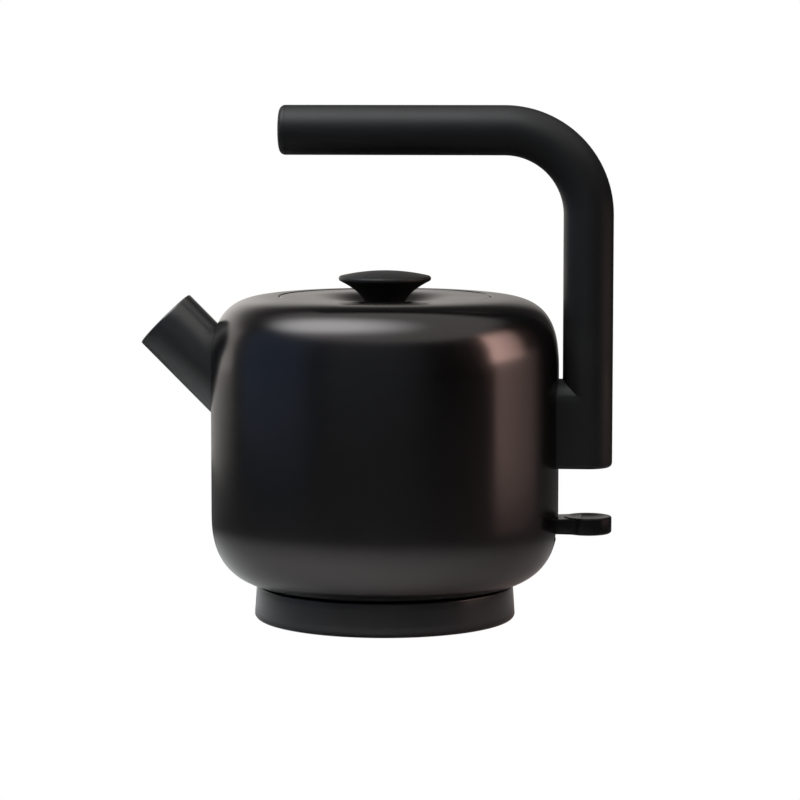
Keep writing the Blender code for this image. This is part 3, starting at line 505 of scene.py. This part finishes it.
def makeBodySolid():
    p = solidPlan
    gap = p["gap"]
    rings = [(p["centre"], bodyPlan["footZ"] - gap)]
    rings += bodyOutline(gap, p["steps"], p["footLimit"], p["crownLimit"])
    rings += [(p["centre"], bodyPlan["crownZ"] + gap)]
    solid = turnRings("bodySolid", rings, bodyPlan["segments"], closed=False)
    editAll(solid)
    bpy.ops.mesh.select_mode(type="EDGE")
    bpy.ops.mesh.select_all(action="DESELECT")
    bpy.ops.mesh.select_non_manifold()
    bpy.ops.mesh.edge_face_add()
    bpy.ops.object.mode_set(mode="OBJECT")
    finishShape(solid)
    return solid


def makeBody():
    p = bodyPlan
    neck = p["neck"]
    wall = p["wall"]
    lip = p["lipRadius"]
    lipRound = p["lipRound"]
    neckRound = p["neckRound"]
    footZ = p["footZ"]
    roundZ = p["crownZ"] - neckRound
    seatLowZ = p["seatZ"] - wall
    # up the outside, from the lip under the foot to the rounded edge of the neck
    rings = [(lip, p["lipTopZ"]), (lip, footZ + lipRound), (lip + lipRound, footZ)]
    rings += bodyOutline(0.0, 30, lip + 4 * lipRound, neck + 2 * neckRound)
    rings += arcPoints(neck + neckRound, roundZ - p["neckDrop"], neckRound, 90, 180, 5)
    # down the neck, round the lid's seat, and back inside the wall
    rings += [(neck, p["neckMiddleZ"]), (neck, p["seatZ"])]
    rings += [(p["seatRadius"], p["seatZ"]), (p["seatRadius"], seatLowZ)]
    rings += [(neck + wall, seatLowZ), (neck + wall, roundZ - wall)]
    rings += reversed(bodyOutline(-wall, 16, lip + 2.2 * wall, neck + 2 * neckRound + wall))
    rings += [(lip + wall, footZ + wall), (lip + wall, p["lipTopZ"])]
    return turnRings("bodyShell", rings, p["segments"])


bodyShell = makeBody()
bodySolid = makeBodySolid()
finishShape(bodyShell)
print("body shell turned")


# spout, coped to the body

spoutPlan = {"radius": 16.3 * mm, "wall": 1.3 * mm, "mouth": (-106.2 * mm, 0, 144.0 * mm),
             "tilt": -45, "length": 60 * mm, "steps": 12, "lip": 0.95 * mm,
             "innerLip": 0.3 * mm, "holeGap": 0.3 * mm}


def tiltSpout(piece):
    turnInto(piece, (0, spoutPlan["tilt"], 0), spoutPlan["mouth"])


def makeSpout():
    # turned upright with its mouth at the top, then tilted
    p = spoutPlan
    outer = p["radius"]
    inner = outer - p["wall"]
    root = -p["length"]
    steps = p["steps"]
    rings = [(inner, root), (outer, root)]
    rings += [(outer, root * part / steps) for part in range(steps - 1, 0, -1)]
    rings += arcPoints(outer - p["lip"], -p["lip"], p["lip"], 0, 90, 5)
    rings += arcPoints(inner + p["innerLip"], -p["innerLip"], p["innerLip"], 90, 180, 4)
    rings += [(inner, root * part / steps) for part in range(1, steps)]
    spout = turnRings("spoutTube", rings, 128)
    tiltSpout(spout)
    finishShape(spout)
    cutWith(spout, bodySolid, keepTool=True)
    return spout


def holeInBody():
    p = spoutPlan
    radius = p["radius"] - p["wall"] - p["holeGap"]
    hole = addPost("spoutHole", radius, -p["length"], 0, vertices=96)
    tiltSpout(hole)
    cutWith(bodyShell, hole)


spoutTube = makeSpout()
holeInBody()
finishShape(spoutTube, 40)
print("spout coped")


# switch slot in the body, and the switch

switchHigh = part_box("switch_lever")[1]
paddleX = 97.4 * mm
switchPlan = {"x": paddleX, "radius": switchHigh.x - paddleX, "lowZ": 42.4 * mm,
              "topZ": 50.6 * mm, "chamfer": 1.4 * mm, "topRound": 0.8 * mm,
              "pivot": Vector((62 * mm, 0, 46.4 * mm)), "neckWidth": 19 * mm,
              "neckLow": 42.8 * mm, "neckTop": 49.8 * mm, "neckStart": 79 * mm,
              "neckEnd": paddleX - 3 * mm, "neckRound": 0.9 * mm, "neckSpread": (1, 1.06, 1.1),
              "neckLift": 0.2 * mm, "armWidth": 10 * mm, "armGap": 0.3 * mm,
              "armEnd": paddleX - 4 * mm, "barrel": 4.4 * mm, "barrelHalf": 7 * mm,
              "bore": 1.8 * mm, "boreHalf": 10 * mm, "tripHalfX": 2.2 * mm,
              "tripHalfY": 3 * mm, "tripDrop": 13.7 * mm}
# the paddle's dish, ring by ring from its edge: how far in, and how far down
dishSteps = ((1.2 * mm, 0.0), (1.2 * mm, 0.25 * mm), (1.6 * mm, 0.35 * mm), (2.0 * mm, 0.3 * mm),
             (2.4 * mm, 0.15 * mm))
slotPlan = {"lowX": 76 * mm, "highX": 90 * mm, "lowZ": 38.8 * mm, "highZ": 50.6 * mm,
            "gap": 0.8 * mm, "round": 1.5 * mm}


def cutSwitchSlot():
    p = slotPlan
    half = switchPlan["neckWidth"] / 2 + p["gap"]
    slot = addBox("slotTool", (p["lowX"], -half, p["lowZ"]), (p["highX"], half, p["highZ"]))
    roundEdges(slot, p["round"], 5, alongX)
    cutWith(bodyShell, slot)


def pickTopFace(piece):
    # leaves edit mode on, with only the many-sided face on top selected
    makeActive(piece)
    bpy.ops.object.mode_set(mode="EDIT")
    bpy.ops.mesh.select_mode(type="FACE")
    bpy.ops.mesh.select_all(action="DESELECT")
    bpy.ops.object.mode_set(mode="OBJECT")
    top = max(piece.data.polygons,
              key=lambda face: (face.normal.z > 0.9, len(face.vertices), face.center.z))
    top.select = True
    bpy.ops.object.mode_set(mode="EDIT")


def makePaddle():
    p = switchPlan
    paddle = addPost("switchPaddle", p["radius"], p["lowZ"], p["topZ"], p["x"], vertices=96)
    under = p["lowZ"] + 0.1 * mm
    over = p["topZ"] - 0.1 * mm
    roundEdges(paddle, p["chamfer"], 4, lambda a, b: a.z < under and b.z < under)
    roundEdges(paddle, p["topRound"], 4, lambda a, b: a.z > over and b.z > over)
    for inset, drop in dishSteps:
        pickTopFace(paddle)
        bpy.ops.mesh.inset(thickness=inset, depth=0)
        bpy.ops.transform.translate(value=(0, 0, -drop))
        bpy.ops.object.mode_set(mode="OBJECT")
    return paddle


def makeNeck():
    p = switchPlan
    half = p["neckWidth"] / 2
    end = p["neckEnd"]
    neck = addBox("switchNeck", (p["neckStart"], -half, p["neckLow"]), (end, half, p["neckTop"]))
    roundEdges(neck, p["neckRound"], 4, alongX)
    # it grows a little towards the paddle
    pickVerts(neck, lambda co: co.x > end - 1 * mm)
    middle = (end, 0, (p["neckLow"] + p["neckTop"]) / 2)
    bpy.ops.transform.resize(value=p["neckSpread"], center_override=middle)
    bpy.ops.transform.translate(value=(0, 0, p["neckLift"]))
    bpy.ops.object.mode_set(mode="OBJECT")
    return neck


def makeSwitch():
    p = switchPlan
    pivot = p["pivot"]
    paddle = makePaddle()
    cutWith(paddle, makeNeck(), "UNION")
    half = p["armWidth"] / 2
    arm = addBox("switchArm", (pivot.x, -half, p["neckLow"] + p["armGap"]),
                 (p["armEnd"], half, p["neckTop"] - p["armGap"]))
    cutWith(paddle, arm, "UNION")
    barrel = addPost("switchBarrel", p["barrel"], -p["barrelHalf"], p["barrelHalf"], vertices=48)
    turnInto(barrel, (90, 0, 0), pivot)
    cutWith(paddle, barrel, "UNION")
    trip = addBox("tripArm", (pivot.x - p["tripHalfX"], -p["tripHalfY"], pivot.z - p["tripDrop"]),
                  (pivot.x + p["tripHalfX"], p["tripHalfY"], pivot.z))
    cutWith(paddle, trip, "UNION")
    bore = addPost("switchBore", p["bore"], -p["boreHalf"], p["boreHalf"], vertices=32)
    turnInto(bore, (90, 0, 0), pivot)
    cutWith(paddle, bore)
    finishShape(paddle, 35)
    return paddle


cutSwitchSlot()
finishShape(bodyShell)
switchPaddle = makeSwitch()
print("switch made")


# handle

barLow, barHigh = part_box("handle_bar")
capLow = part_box("handle_end_cap")[0]
handlePlan = {"radius": barHigh.y, "endX": capLow.x, "gripZ": barHigh.z - barHigh.y,
              "gripSteps": 6, "legX": barHigh.x - barHigh.y, "bend": 40.0 * mm, "bendSteps": 28,
              "legStations": (150 * mm, 124 * mm, 119 * mm, 110 * mm, 95 * mm),
              "footZ": barLow.z, "footRound": 2.4 * mm, "blockTop": 116.4 * mm,
              "blockInset": 6 * mm, "blockShy": 0.02 * mm, "blockRound": 0.9999,
              "bore": 9.0 * mm, "boreLength": 92 * mm}
capPlan = {"length": barLow.x - capLow.x, "round": 2.8 * mm, "seam": 0.05 * mm,
           "edgeIn": 0.1 * mm, "edgeUp": 0.08 * mm, "plugGap": 0.3 * mm, "plugEnd": -12 * mm,
           "plugChamfer": 1 * mm, "flat": 5 * mm}


def makeBar():
    # extruded along the grip, spun round the bend and extruded down the leg
    p = handlePlan
    startX = p["endX"] + capPlan["length"]
    bendX = p["legX"] - p["bend"]
    bendZ = p["gripZ"] - p["bend"]
    deselectAll()
    bpy.ops.mesh.primitive_circle_add(vertices=96, radius=p["radius"], fill_type="NGON",
                                      location=(startX, 0, p["gripZ"]),
                                      rotation=(0, math.radians(90), 0))
    bar = bpy.context.object
    bar.name = "handleBar"
    applyPlace(bar)
    editAll(bar)
    for _ in range(p["gripSteps"]):
        extrudeBy((bendX - startX) / p["gripSteps"], 0, 0)
    bpy.ops.mesh.spin(steps=p["bendSteps"], angle=math.radians(-90), center=(bendX, 0, bendZ),
                      axis=(0, 1, 0))
    roundZ = p["footZ"] + p["footRound"]
    height = bendZ
    for station in (*p["legStations"], roundZ):
        extrudeBy(0, 0, station - height)
        height = station
    extrudeRings(arcPoints(p["radius"] - p["footRound"], roundZ, p["footRound"], 0, -90, 8),
                 x=p["legX"])
    bpy.ops.object.mode_set(mode="OBJECT")
    finishShape(bar)
    return bar


def makeBlock():
    # block between the leg and the body, its top rounded until the two sides almost meet
    p = handlePlan
    half = p["radius"] - p["blockShy"]
    block = addBox("handleBlock", (bodyPlan["radius"] - p["blockInset"], -half, p["footZ"]),
                   (p["legX"], half, p["blockTop"]))
    over = p["blockTop"] - 1 * mm
    under = p["footZ"] + 0.01 * mm
    pickEdges(block, lambda a, b: alongX(a, b) and a.z > over)
    bpy.ops.mesh.bevel(offset=half * p["blockRound"], segments=32, affect="EDGES",
                       clamp_overlap=False)
    bpy.ops.object.mode_set(mode="OBJECT")
    roundEdges(block, p["footRound"] - p["blockShy"], 8,
               lambda a, b: alongX(a, b) and a.z < under)
    finishShape(block)
    return block


def makeHandle():
    p = handlePlan
    bar = makeBar()
    cutWith(bar, makeBlock(), "UNION")
    cutWith(bar, bodySolid, keepTool=True)
    bore = addPost("boreTool", p["bore"], 0, p["boreLength"])
    turnInto(bore, (0, 90, 0), (p["endX"], 0, p["gripZ"]))
    cutWith(bar, bore)
    finishShape(bar, 32)
    return bar


def makeEndCap():
    # turned with its outer end at height 0, then laid at the grip's end
    p = capPlan
    radius = handlePlan["radius"]
    inner = handlePlan["bore"] - p["plugGap"]
    edge = p["seam"] - p["length"]
    plugEnd = p["plugEnd"]
    chamfer = p["plugChamfer"]
    rings = [(poleRadius, plugEnd), (inner - chamfer, plugEnd), (inner, plugEnd + chamfer)]
    rings += [(inner, edge), (radius - p["edgeIn"], edge), (radius, edge + p["edgeUp"])]
    rings += arcPoints(radius - p["round"], -p["round"], p["round"], 0, 90, 8)
    rings += [(p["flat"], 0.0), (poleRadius, 0.0)]
    cap = turnRings("handleEndCap", rings, 96, closed=False)
    closePole(cap, plugEnd)
    closePole(cap, 0.0)
    turnInto(cap, (0, -90, 0), (handlePlan["endX"], 0, handlePlan["gripZ"]))
    finishShape(cap)
    return cap


handleBar = makeHandle()
handleEndCap = makeEndCap()
bpy.data.objects.remove(bodySolid)
print("handle made")


# lid and knob

lidPlan = {"radius": lidHigh.x, "rimZ": lidHigh.z, "dish": 5.1 * mm, "bowlStart": 9 * mm,
           "bowlEnd": 37 * mm, "wall": 1.0 * mm, "hole": 2.3 * mm, "skirt": 4.5 * mm,
           "round": 0.9 * mm, "steps": 24, "flatEdge": 0.4 * mm, "innerEdge": 0.1 * mm,
           "innerDrop": 2.0 * mm}
knobLow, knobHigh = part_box("lid_knob")
knobPlan = {"radius": knobHigh.x, "topZ": knobHigh.z, "stemZ": knobLow.z, "stem": 9.4 * mm,
            "rimZ": 163.8 * mm, "rimRound": 1.3 * mm, "bore": 2.3 * mm,
            "boreTop": knobLow.z + 12 * mm, "flareSteps": 24, "topSteps": 10}


def dishHeight(radius, drop=0.0):
    # level at the hole and at the rim, with a smooth slope between
    p = lidPlan
    share = (radius - p["bowlStart"]) / (p["bowlEnd"] - p["bowlStart"])
    share = min(1.0, max(0.0, share))
    return p["rimZ"] - p["dish"] * (1 + math.cos(math.pi * share)) / 2 - drop


def makeLid():
    p = lidPlan
    hole = p["hole"]
    edge = p["radius"] - p["round"]
    skirtZ = p["rimZ"] - p["skirt"]
    reach = edge - p["flatEdge"] - hole
    stations = [hole + reach * part / p["steps"] for part in range(p["steps"] + 1)]
    rings = [(radius, dishHeight(radius)) for radius in stations]
    rings += arcPoints(edge, p["rimZ"] - p["round"], p["round"], 97, 0, 7)
    rings += [(p["radius"], skirtZ), (edge, skirtZ)]
    rings += [(edge - p["innerEdge"], p["rimZ"] - p["innerDrop"])]
    rings += [(radius, dishHeight(radius, p["wall"])) for radius in reversed(stations)]
    lid = turnRings("lidSkin", rings, 160)
    finishShape(lid)
    return lid


def makeKnob():
    p = knobPlan
    stem = p["stem"]
    stemZ = p["stemZ"]
    rings = [(poleRadius, p["boreTop"]), (p["bore"], p["boreTop"]), (p["bore"], stemZ)]
    rim = arcPoints(p["radius"] - p["rimRound"], p["rimZ"], p["rimRound"], -60, 70, 9)
    flare, flareZ = rim[0]
    for step in range(p["flareSteps"]):
        rise = step / p["flareSteps"]
        rings.append((stem + (flare - stem) * rise ** 2, stemZ + (flareZ - stemZ) * rise))
    rings += rim
    # the top is crowned, as a parabola from the rim to the axis
    rimIn, rimTop = rim[-1]
    for step in range(1, p["topSteps"] + 1):
        share = step / p["topSteps"]
        radius = rimIn * (1 - share) + poleRadius * share
        rings.append((radius, p["topZ"] - (p["topZ"] - rimTop) * (radius / rimIn) ** 2))
    knob = turnRings("lidKnob", rings, 128, closed=False)
    closePole(knob, p["boreTop"])
    closePole(knob, rings[-1][1])
    finishShape(knob, 40)
    return knob


lidSkin = makeLid()
lidKnob = makeKnob()
print("lid and knob turned")


# power base cover

coverLow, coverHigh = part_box("base_cover")
basePlan = {"side": coverHigh.x, "rim": 61.7 * mm, "rimZ": coverHigh.z, "rimRound": 0.6 * mm,
            "footRound": 2.0 * mm, "floorZ": coverLow.z, "wall": 2.2 * mm, "sideSteps": 4,
            "lipWidth": 1.7 * mm, "lipTopZ": 4.4 * mm, "innerLowZ": 6 * mm,
            "innerTopZ": 14.9 * mm, "track": 56.2 * mm, "trackZ": 15.0 * mm,
            "trackUnderZ": 13 * mm, "landOut": 2.2 * mm, "landIn": 1.8 * mm,
            "landDrop": 0.2 * mm, "trackSoft": 0.3 * mm, "trackSoftUp": 0.2 * mm,
            "plateRings": (40 * mm, 24 * mm), "underIn": 1.2 * mm, "underOut": 0.6 * mm,
            "innerIn": 1 * mm, "boss": 19.5 * mm}
glandPlan = {"gap": 0.3 * mm, "inward": 1 * mm, "outward": 4 * mm}
postPlan = {"ring": 50 * mm, "count": 3, "radius": 3.6 * mm, "lowZ": 3.9 * mm,
            "highZ": 13.5 * mm, "bore": 1.6 * mm, "boreTop": 11.6 * mm}


def coverRings():
    p = basePlan
    side = p["side"]
    rim = p["rim"]
    rimZ = p["rimZ"]
    track = p["track"]
    trackZ = p["trackZ"]
    inner = side - p["wall"]
    lip = inner - p["lipWidth"]
    foot = p["footRound"]
    lowZ = p["floorZ"] + foot
    highZ = rimZ - p["rimRound"]
    steps = p["sideSteps"]
    # up the outside, from the lip under the foot to the rounded rim
    rings = [(lip, p["floorZ"])] + arcPoints(side - foot, lowZ, foot, -90, 0, 10)
    for part in range(1, steps):
        rings.append((side + (rim - side) * part / steps, lowZ + (highZ - lowZ) * part / steps))
    rings += arcPoints(rim - p["rimRound"], highZ, p["rimRound"], 0, 90, 6)
    # down into the track that the kettle's foot stands in, and in to the boss
    rings += [(track + p["landOut"], rimZ), (track + p["landIn"], rimZ - p["landDrop"])]
    rings += [(track + p["trackSoft"], trackZ + p["trackSoftUp"]), (track, trackZ)]
    rings += [(radius, trackZ) for radius in (*p["plateRings"], p["boss"])]
    # back along the inside of the wall
    rings += [(p["boss"], p["trackUnderZ"]), (track - p["underIn"], p["trackUnderZ"])]
    rings += [(track + p["underOut"], p["innerTopZ"]), (inner - p["innerIn"], p["innerTopZ"])]
    rings += [(inner, p["innerLowZ"]), (lip, p["lipTopZ"])]
    return rings


def cutGlandSlot(cover):
    p = glandPlan
    low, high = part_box("cord_gland")
    slot = addBox("glandSlot", (low.x - p["gap"], low.y - p["inward"], low.z - p["gap"]),
                  (high.x + p["gap"], high.y + p["outward"], high.z + p["gap"]))
    cutWith(cover, slot)


def addScrewPosts(cover):
    p = postPlan
    for index in range(p["count"]):
        turn = math.radians(360 / p["count"] * index)
        x = p["ring"] * math.cos(turn)
        y = p["ring"] * math.sin(turn)
        cutWith(cover, addPost("postTool", p["radius"], p["lowZ"], p["highZ"], x, y, 32), "UNION")
        cutWith(cover, addPost("boreTool", p["bore"], 0, p["boreTop"], x, y, 24))


def makeBaseCover():
    cover = turnRings("baseCover", coverRings(), 160)
    finishShape(cover)
    cutGlandSlot(cover)
    addScrewPosts(cover)
    finishShape(cover)
    return cover


baseCover = makeBaseCover()
print("base cover turned")

place(bodyShell, "kettle", ["body_shell"], looks["body_coating"])
place(spoutTube, "kettle", ["spout"], looks["spout_black"])
place(handleBar, "kettle", ["handle_bar"], looks["soft_black"])
place(handleEndCap, "kettle", ["handle_end_cap"], looks["soft_black"])
place(lidSkin, "lid", ["lid_skin"], looks["body_coating"])
place(lidKnob, "lid", ["lid_knob"], looks["soft_black"])
place(baseCover, "power_base", ["base_cover"], looks["base_black"])
place(switchPaddle, "switch_lever", ["switch_lever"], looks["gloss_black"])


# camera, lights and floor

cameraPlan = {"azimuth": 5.2, "distance": 1.5, "height": 0.265, "aimZ": 0.112, "lens": 141.6,
              "sensor": 36, "shiftX": 0.0189, "shiftY": -0.0172}


def around(azimuth, distance, height):
    # a point round the kettle's axis, counted from the camera's side towards the handle
    angle = math.radians(cameraPlan["azimuth"] + azimuth)
    return Vector((distance * math.sin(angle), -distance * math.cos(angle), height))


def aim(thing, target):
    thing.rotation_euler = (Vector(target) - thing.location).to_track_quat("-Z", "Y").to_euler()


def addCamera():
    p = cameraPlan
    deselectAll()
    bpy.ops.object.camera_add(location=around(0, p["distance"], p["height"]))
    camera = bpy.context.object
    aim(camera, (0, 0, p["aimZ"]))
    camera.data.lens = p["lens"]
    camera.data.sensor_width = p["sensor"]
    camera.data.shift_x = p["shiftX"]
    camera.data.shift_y = p["shiftY"]
    bpy.context.scene.camera = camera


# overhead silks: full in the middle and fading out in an oval; core is the share that is full
silkPlans = {
    "keySilk": {"place": (-0.58, -0.32, 1.25), "size": (2.4, 1.5), "turn": -24, "radiance": 5.0,
                "core": 0.22, "colour": (0.94, 0.99, 1.0)},
    "ceilingFill": {"place": (0.10, -0.55, 1.60), "size": (5.2, 4.2), "turn": 0,
                    "radiance": 0.80, "core": 0.6, "colour": (1.0, 0.98, 0.96)},
}
# standing cards: azimuth goes from the camera towards the handle's side, and the light changes
# from near at the edge of smaller azimuth to far at the other; soft values are the shares of
# the width or height over which an edge fades out
cardPlans = {
    "warmWindow": {"azimuth": 88.5, "distance": 0.85, "width": 0.54, "low": 0.17, "high": 0.78,
                   "near": 8.4, "far": 0.6, "softNear": 0.0, "softFar": 0.3, "softTop": 0.45,
                   "colour": (1.0, 0.67, 0.58)},
    "warmCard": {"azimuth": 94.5, "distance": 0.50, "width": 0.43, "low": 0.0, "high": 0.18,
                 "near": 1.45, "far": 0.05, "softNear": 0.0, "softFar": 0.3, "softTop": 0.0,
                 "colour": (1.0, 0.71, 0.64)},
    "coolCard": {"azimuth": -74, "distance": 0.80, "width": 1.15, "low": 0.0, "high": 1.20,
                 "near": 0.36, "far": 0.27, "softNear": 0.2, "softFar": 0.3, "softTop": 0.6,
                 "colour": (0.42, 0.62, 1.0)},
    "frontCard": {"azimuth": -6, "distance": 0.95, "width": 1.85, "low": 0.0, "high": 1.10,
                  "near": 0.20, "far": 0.13, "softNear": 0.3, "softFar": 0.4, "softTop": 0.5,
                  "colour": (0.70, 0.83, 1.0)},
    "backLeftCard": {"azimuth": -137, "distance": 0.60, "width": 0.95, "low": 0.0, "high": 0.70,
                     "near": 0.44, "far": 0.34, "softNear": 0.15, "softFar": 0.5,
                     "softTop": 0.6, "colour": (1.0, 0.98, 0.95)},
    "backCard": {"azimuth": 200, "distance": 1.30, "width": 2.40, "low": 0.0, "high": 0.95,
                 "near": 0.26, "far": 1.15, "softNear": 0.15, "softFar": 0.0, "softTop": 0.5,
                 "colour": (1.0, 0.95, 0.90)},
}
roomColour = (0.050, 0.047, 0.046)
# the floor's sheet carries a painted pool of light: palest round its centre, greyer from near to
# far
floorPlan = {"size": 8, "z": -0.05 * mm, "centre": (-0.035, -0.02, 0), "near": 0.085,
             "far": 0.28, "paintedLightNear": 0.76, "paintedLightFar": 0.08}


def emissionLook(name, colour):
    look = bpy.data.materials.new(name)
    look.use_nodes = True
    tree = look.node_tree
    tree.nodes.clear()
    glow = addNode(tree, "ShaderNodeEmission", 300, Color=(*colour, 1))
    # what is behind a faded edge still shows through it
    clear = addNode(tree, "ShaderNodeBsdfTransparent", 300, -200)
    both = addNode(tree, "ShaderNodeAddShader", 500)
    end = addNode(tree, "ShaderNodeOutputMaterial", 700)
    tree.links.new(glow.outputs[0], both.inputs[0])
    tree.links.new(clear.outputs[0], both.inputs[1])
    tree.links.new(both.outputs[0], end.inputs["Surface"])
    return look, tree, glow


def silkLook(name, p):
    look, tree, glow = emissionLook(name, p["colour"])
    spot = addNode(tree, "ShaderNodeTexCoord", -900)
    reach = addNode(tree, "ShaderNodeVectorMath", -650)
    reach.operation = "DISTANCE"
    reach.inputs[1].default_value = (0.5, 0.5, 0)
    fade = addNode(tree, "ShaderNodeMapRange", -350, From_Min=p["core"] / 2, From_Max=0.5,
                   To_Min=p["radiance"], To_Max=0)
    fade.interpolation_type = "SMOOTHSTEP"
    tree.links.new(spot.outputs["UV"], reach.inputs[0])
    tree.links.new(reach.outputs["Value"], fade.inputs["Value"])
    tree.links.new(fade.outputs["Result"], glow.inputs["Strength"])
    return look


def cardLook(name, p):
    look, tree, glow = emissionLook(name, p["colour"])
    spot = addNode(tree, "ShaderNodeTexCoord", -900)
    split = addNode(tree, "ShaderNodeSeparateXYZ", -700)
    tree.links.new(spot.outputs["UV"], split.inputs[0])
    level = addNode(tree, "ShaderNodeMapRange", -450, To_Min=p["near"], To_Max=p["far"])
    tree.links.new(split.outputs["X"], level.inputs["Value"])
    strength = level.outputs["Result"]
    fades = (("X", 0.0, p["softNear"]), ("X", 1.0, 1 - p["softFar"]), ("Y", 1.0, 1 - p["softTop"]))
    for row, (side, dark, full) in enumerate(fades, 1):
        if dark == full:
            continue
        fade = addNode(tree, "ShaderNodeMapRange", -450, -250 * row, From_Min=dark, From_Max=full)
        fade.interpolation_type = "SMOOTHSTEP"
        both = multiply(tree, -150, -250 * row)
        tree.links.new(split.outputs[side], fade.inputs["Value"])
        tree.links.new(fade.outputs["Result"], both.inputs[0])
        tree.links.new(strength, both.inputs[1])
        strength = both.outputs[0]
    tree.links.new(strength, glow.inputs["Strength"])
    return look


def addPanel(name, location, rotation, scale, look):
    deselectAll()
    bpy.ops.mesh.primitive_plane_add(size=1, location=location, rotation=rotation)
    panel = bpy.context.object
    panel.name = name
    panel.scale = scale
    panel.visible_camera = False
    panel.data.materials.append(look)
    return panel


def addSilks():
    for name, p in silkPlans.items():
        turn = math.radians(p["turn"] + cameraPlan["azimuth"])
        addPanel(name, p["place"], (0, 0, turn), (*p["size"], 1), silkLook(name, p))


def shadeFromWindow(window):
    # flagged off from the handle and the paddle, which stand in the window's shade
    shaded = bpy.data.collections.new("windowShade")
    window.light_linking.receiver_collection = shaded
    for piece in (handleBar, switchPaddle):
        shaded.objects.link(piece)
    for linked in shaded.collection_objects:
        linked.light_linking.link_state = "EXCLUDE"


def addCards():
    for name, p in cardPlans.items():
        middle = around(p["azimuth"], p["distance"], (p["low"] + p["high"]) / 2)
        facing = math.radians(p["azimuth"] + cameraPlan["azimuth"])
        size = (p["width"], p["high"] - p["low"], 1)
        card = addPanel(name, middle, (math.radians(90), 0, facing), size, cardLook(name, p))
        if name == "warmWindow":
            shadeFromWindow(card)


def addWorld():
    world = bpy.data.worlds.new("studioRoom")
    bpy.context.scene.world = world
    world.use_nodes = True
    tree = world.node_tree
    room = tree.nodes["Background"]
    room.inputs["Color"].default_value = (*roomColour, 1)
    paper = addNode(tree, "ShaderNodeBackground", 0, -200, Color=(1, 1, 1, 1))
    rays = addNode(tree, "ShaderNodeLightPath", -300, 300)
    mix = addNode(tree, "ShaderNodeMixShader", 300, 0)
    tree.links.new(rays.outputs["Is Camera Ray"], mix.inputs[0])
    tree.links.new(room.outputs[0], mix.inputs[1])
    tree.links.new(paper.outputs[0], mix.inputs[2])
    tree.links.new(mix.outputs[0], tree.nodes["World Output"].inputs["Surface"])


def addFloor():
    p = floorPlan
    deselectAll()
    bpy.ops.mesh.primitive_plane_add(size=p["size"], location=(0, 0, p["z"]))
    floor = bpy.context.object
    floor.name = "studioFloor"
    look = bpy.data.materials.new("paperPaintedPool")
    look.use_nodes = True
    tree = look.node_tree
    tree.nodes.clear()
    spot = addNode(tree, "ShaderNodeTexCoord", -1300)
    reach = addNode(tree, "ShaderNodeVectorMath", -1100)
    reach.operation = "DISTANCE"
    reach.inputs[1].default_value = p["centre"]
    # painted pool of light: the sheet's colour goes from pale near the centre to grey far out
    paintedPool = addNode(tree, "ShaderNodeMapRange", -850, From_Min=p["near"], From_Max=p["far"],
                   To_Min=p["paintedLightNear"], To_Max=p["paintedLightFar"])
    white = addNode(tree, "ShaderNodeBsdfDiffuse", -300, 0)
    # the camera sees plain white, and only the kettle sees the sheet with its painted pool of light
    bright = addNode(tree, "ShaderNodeEmission", -300, -200, Color=(1, 1, 1, 1), Strength=1.0)
    rays = addNode(tree, "ShaderNodeLightPath", -300, 300)
    mix = addNode(tree, "ShaderNodeMixShader", 0, 0)
    # seen from below, the sheet is clear, so that the underside shows
    below = addNode(tree, "ShaderNodeNewGeometry", 0, 300)
    clear = addNode(tree, "ShaderNodeBsdfTransparent", 0, -200)
    sides = addNode(tree, "ShaderNodeMixShader", 250, 0)
    end = addNode(tree, "ShaderNodeOutputMaterial", 500, 0)
    link = tree.links.new
    link(spot.outputs["Object"], reach.inputs[0])
    link(reach.outputs["Value"], paintedPool.inputs["Value"])
    link(paintedPool.outputs["Result"], white.inputs["Color"])
    link(rays.outputs["Is Camera Ray"], mix.inputs[0])
    link(white.outputs[0], mix.inputs[1])
    link(bright.outputs[0], mix.inputs[2])
    link(below.outputs["Backfacing"], sides.inputs[0])
    link(mix.outputs[0], sides.inputs[1])
    link(clear.outputs[0], sides.inputs[2])
    link(sides.outputs[0], end.inputs["Surface"])
    floor.data.materials.append(look)


addCamera()
addSilks()
addCards()
addWorld()
addFloor()
bpy.context.scene.view_settings.view_transform = "Standard"
print("studio set")
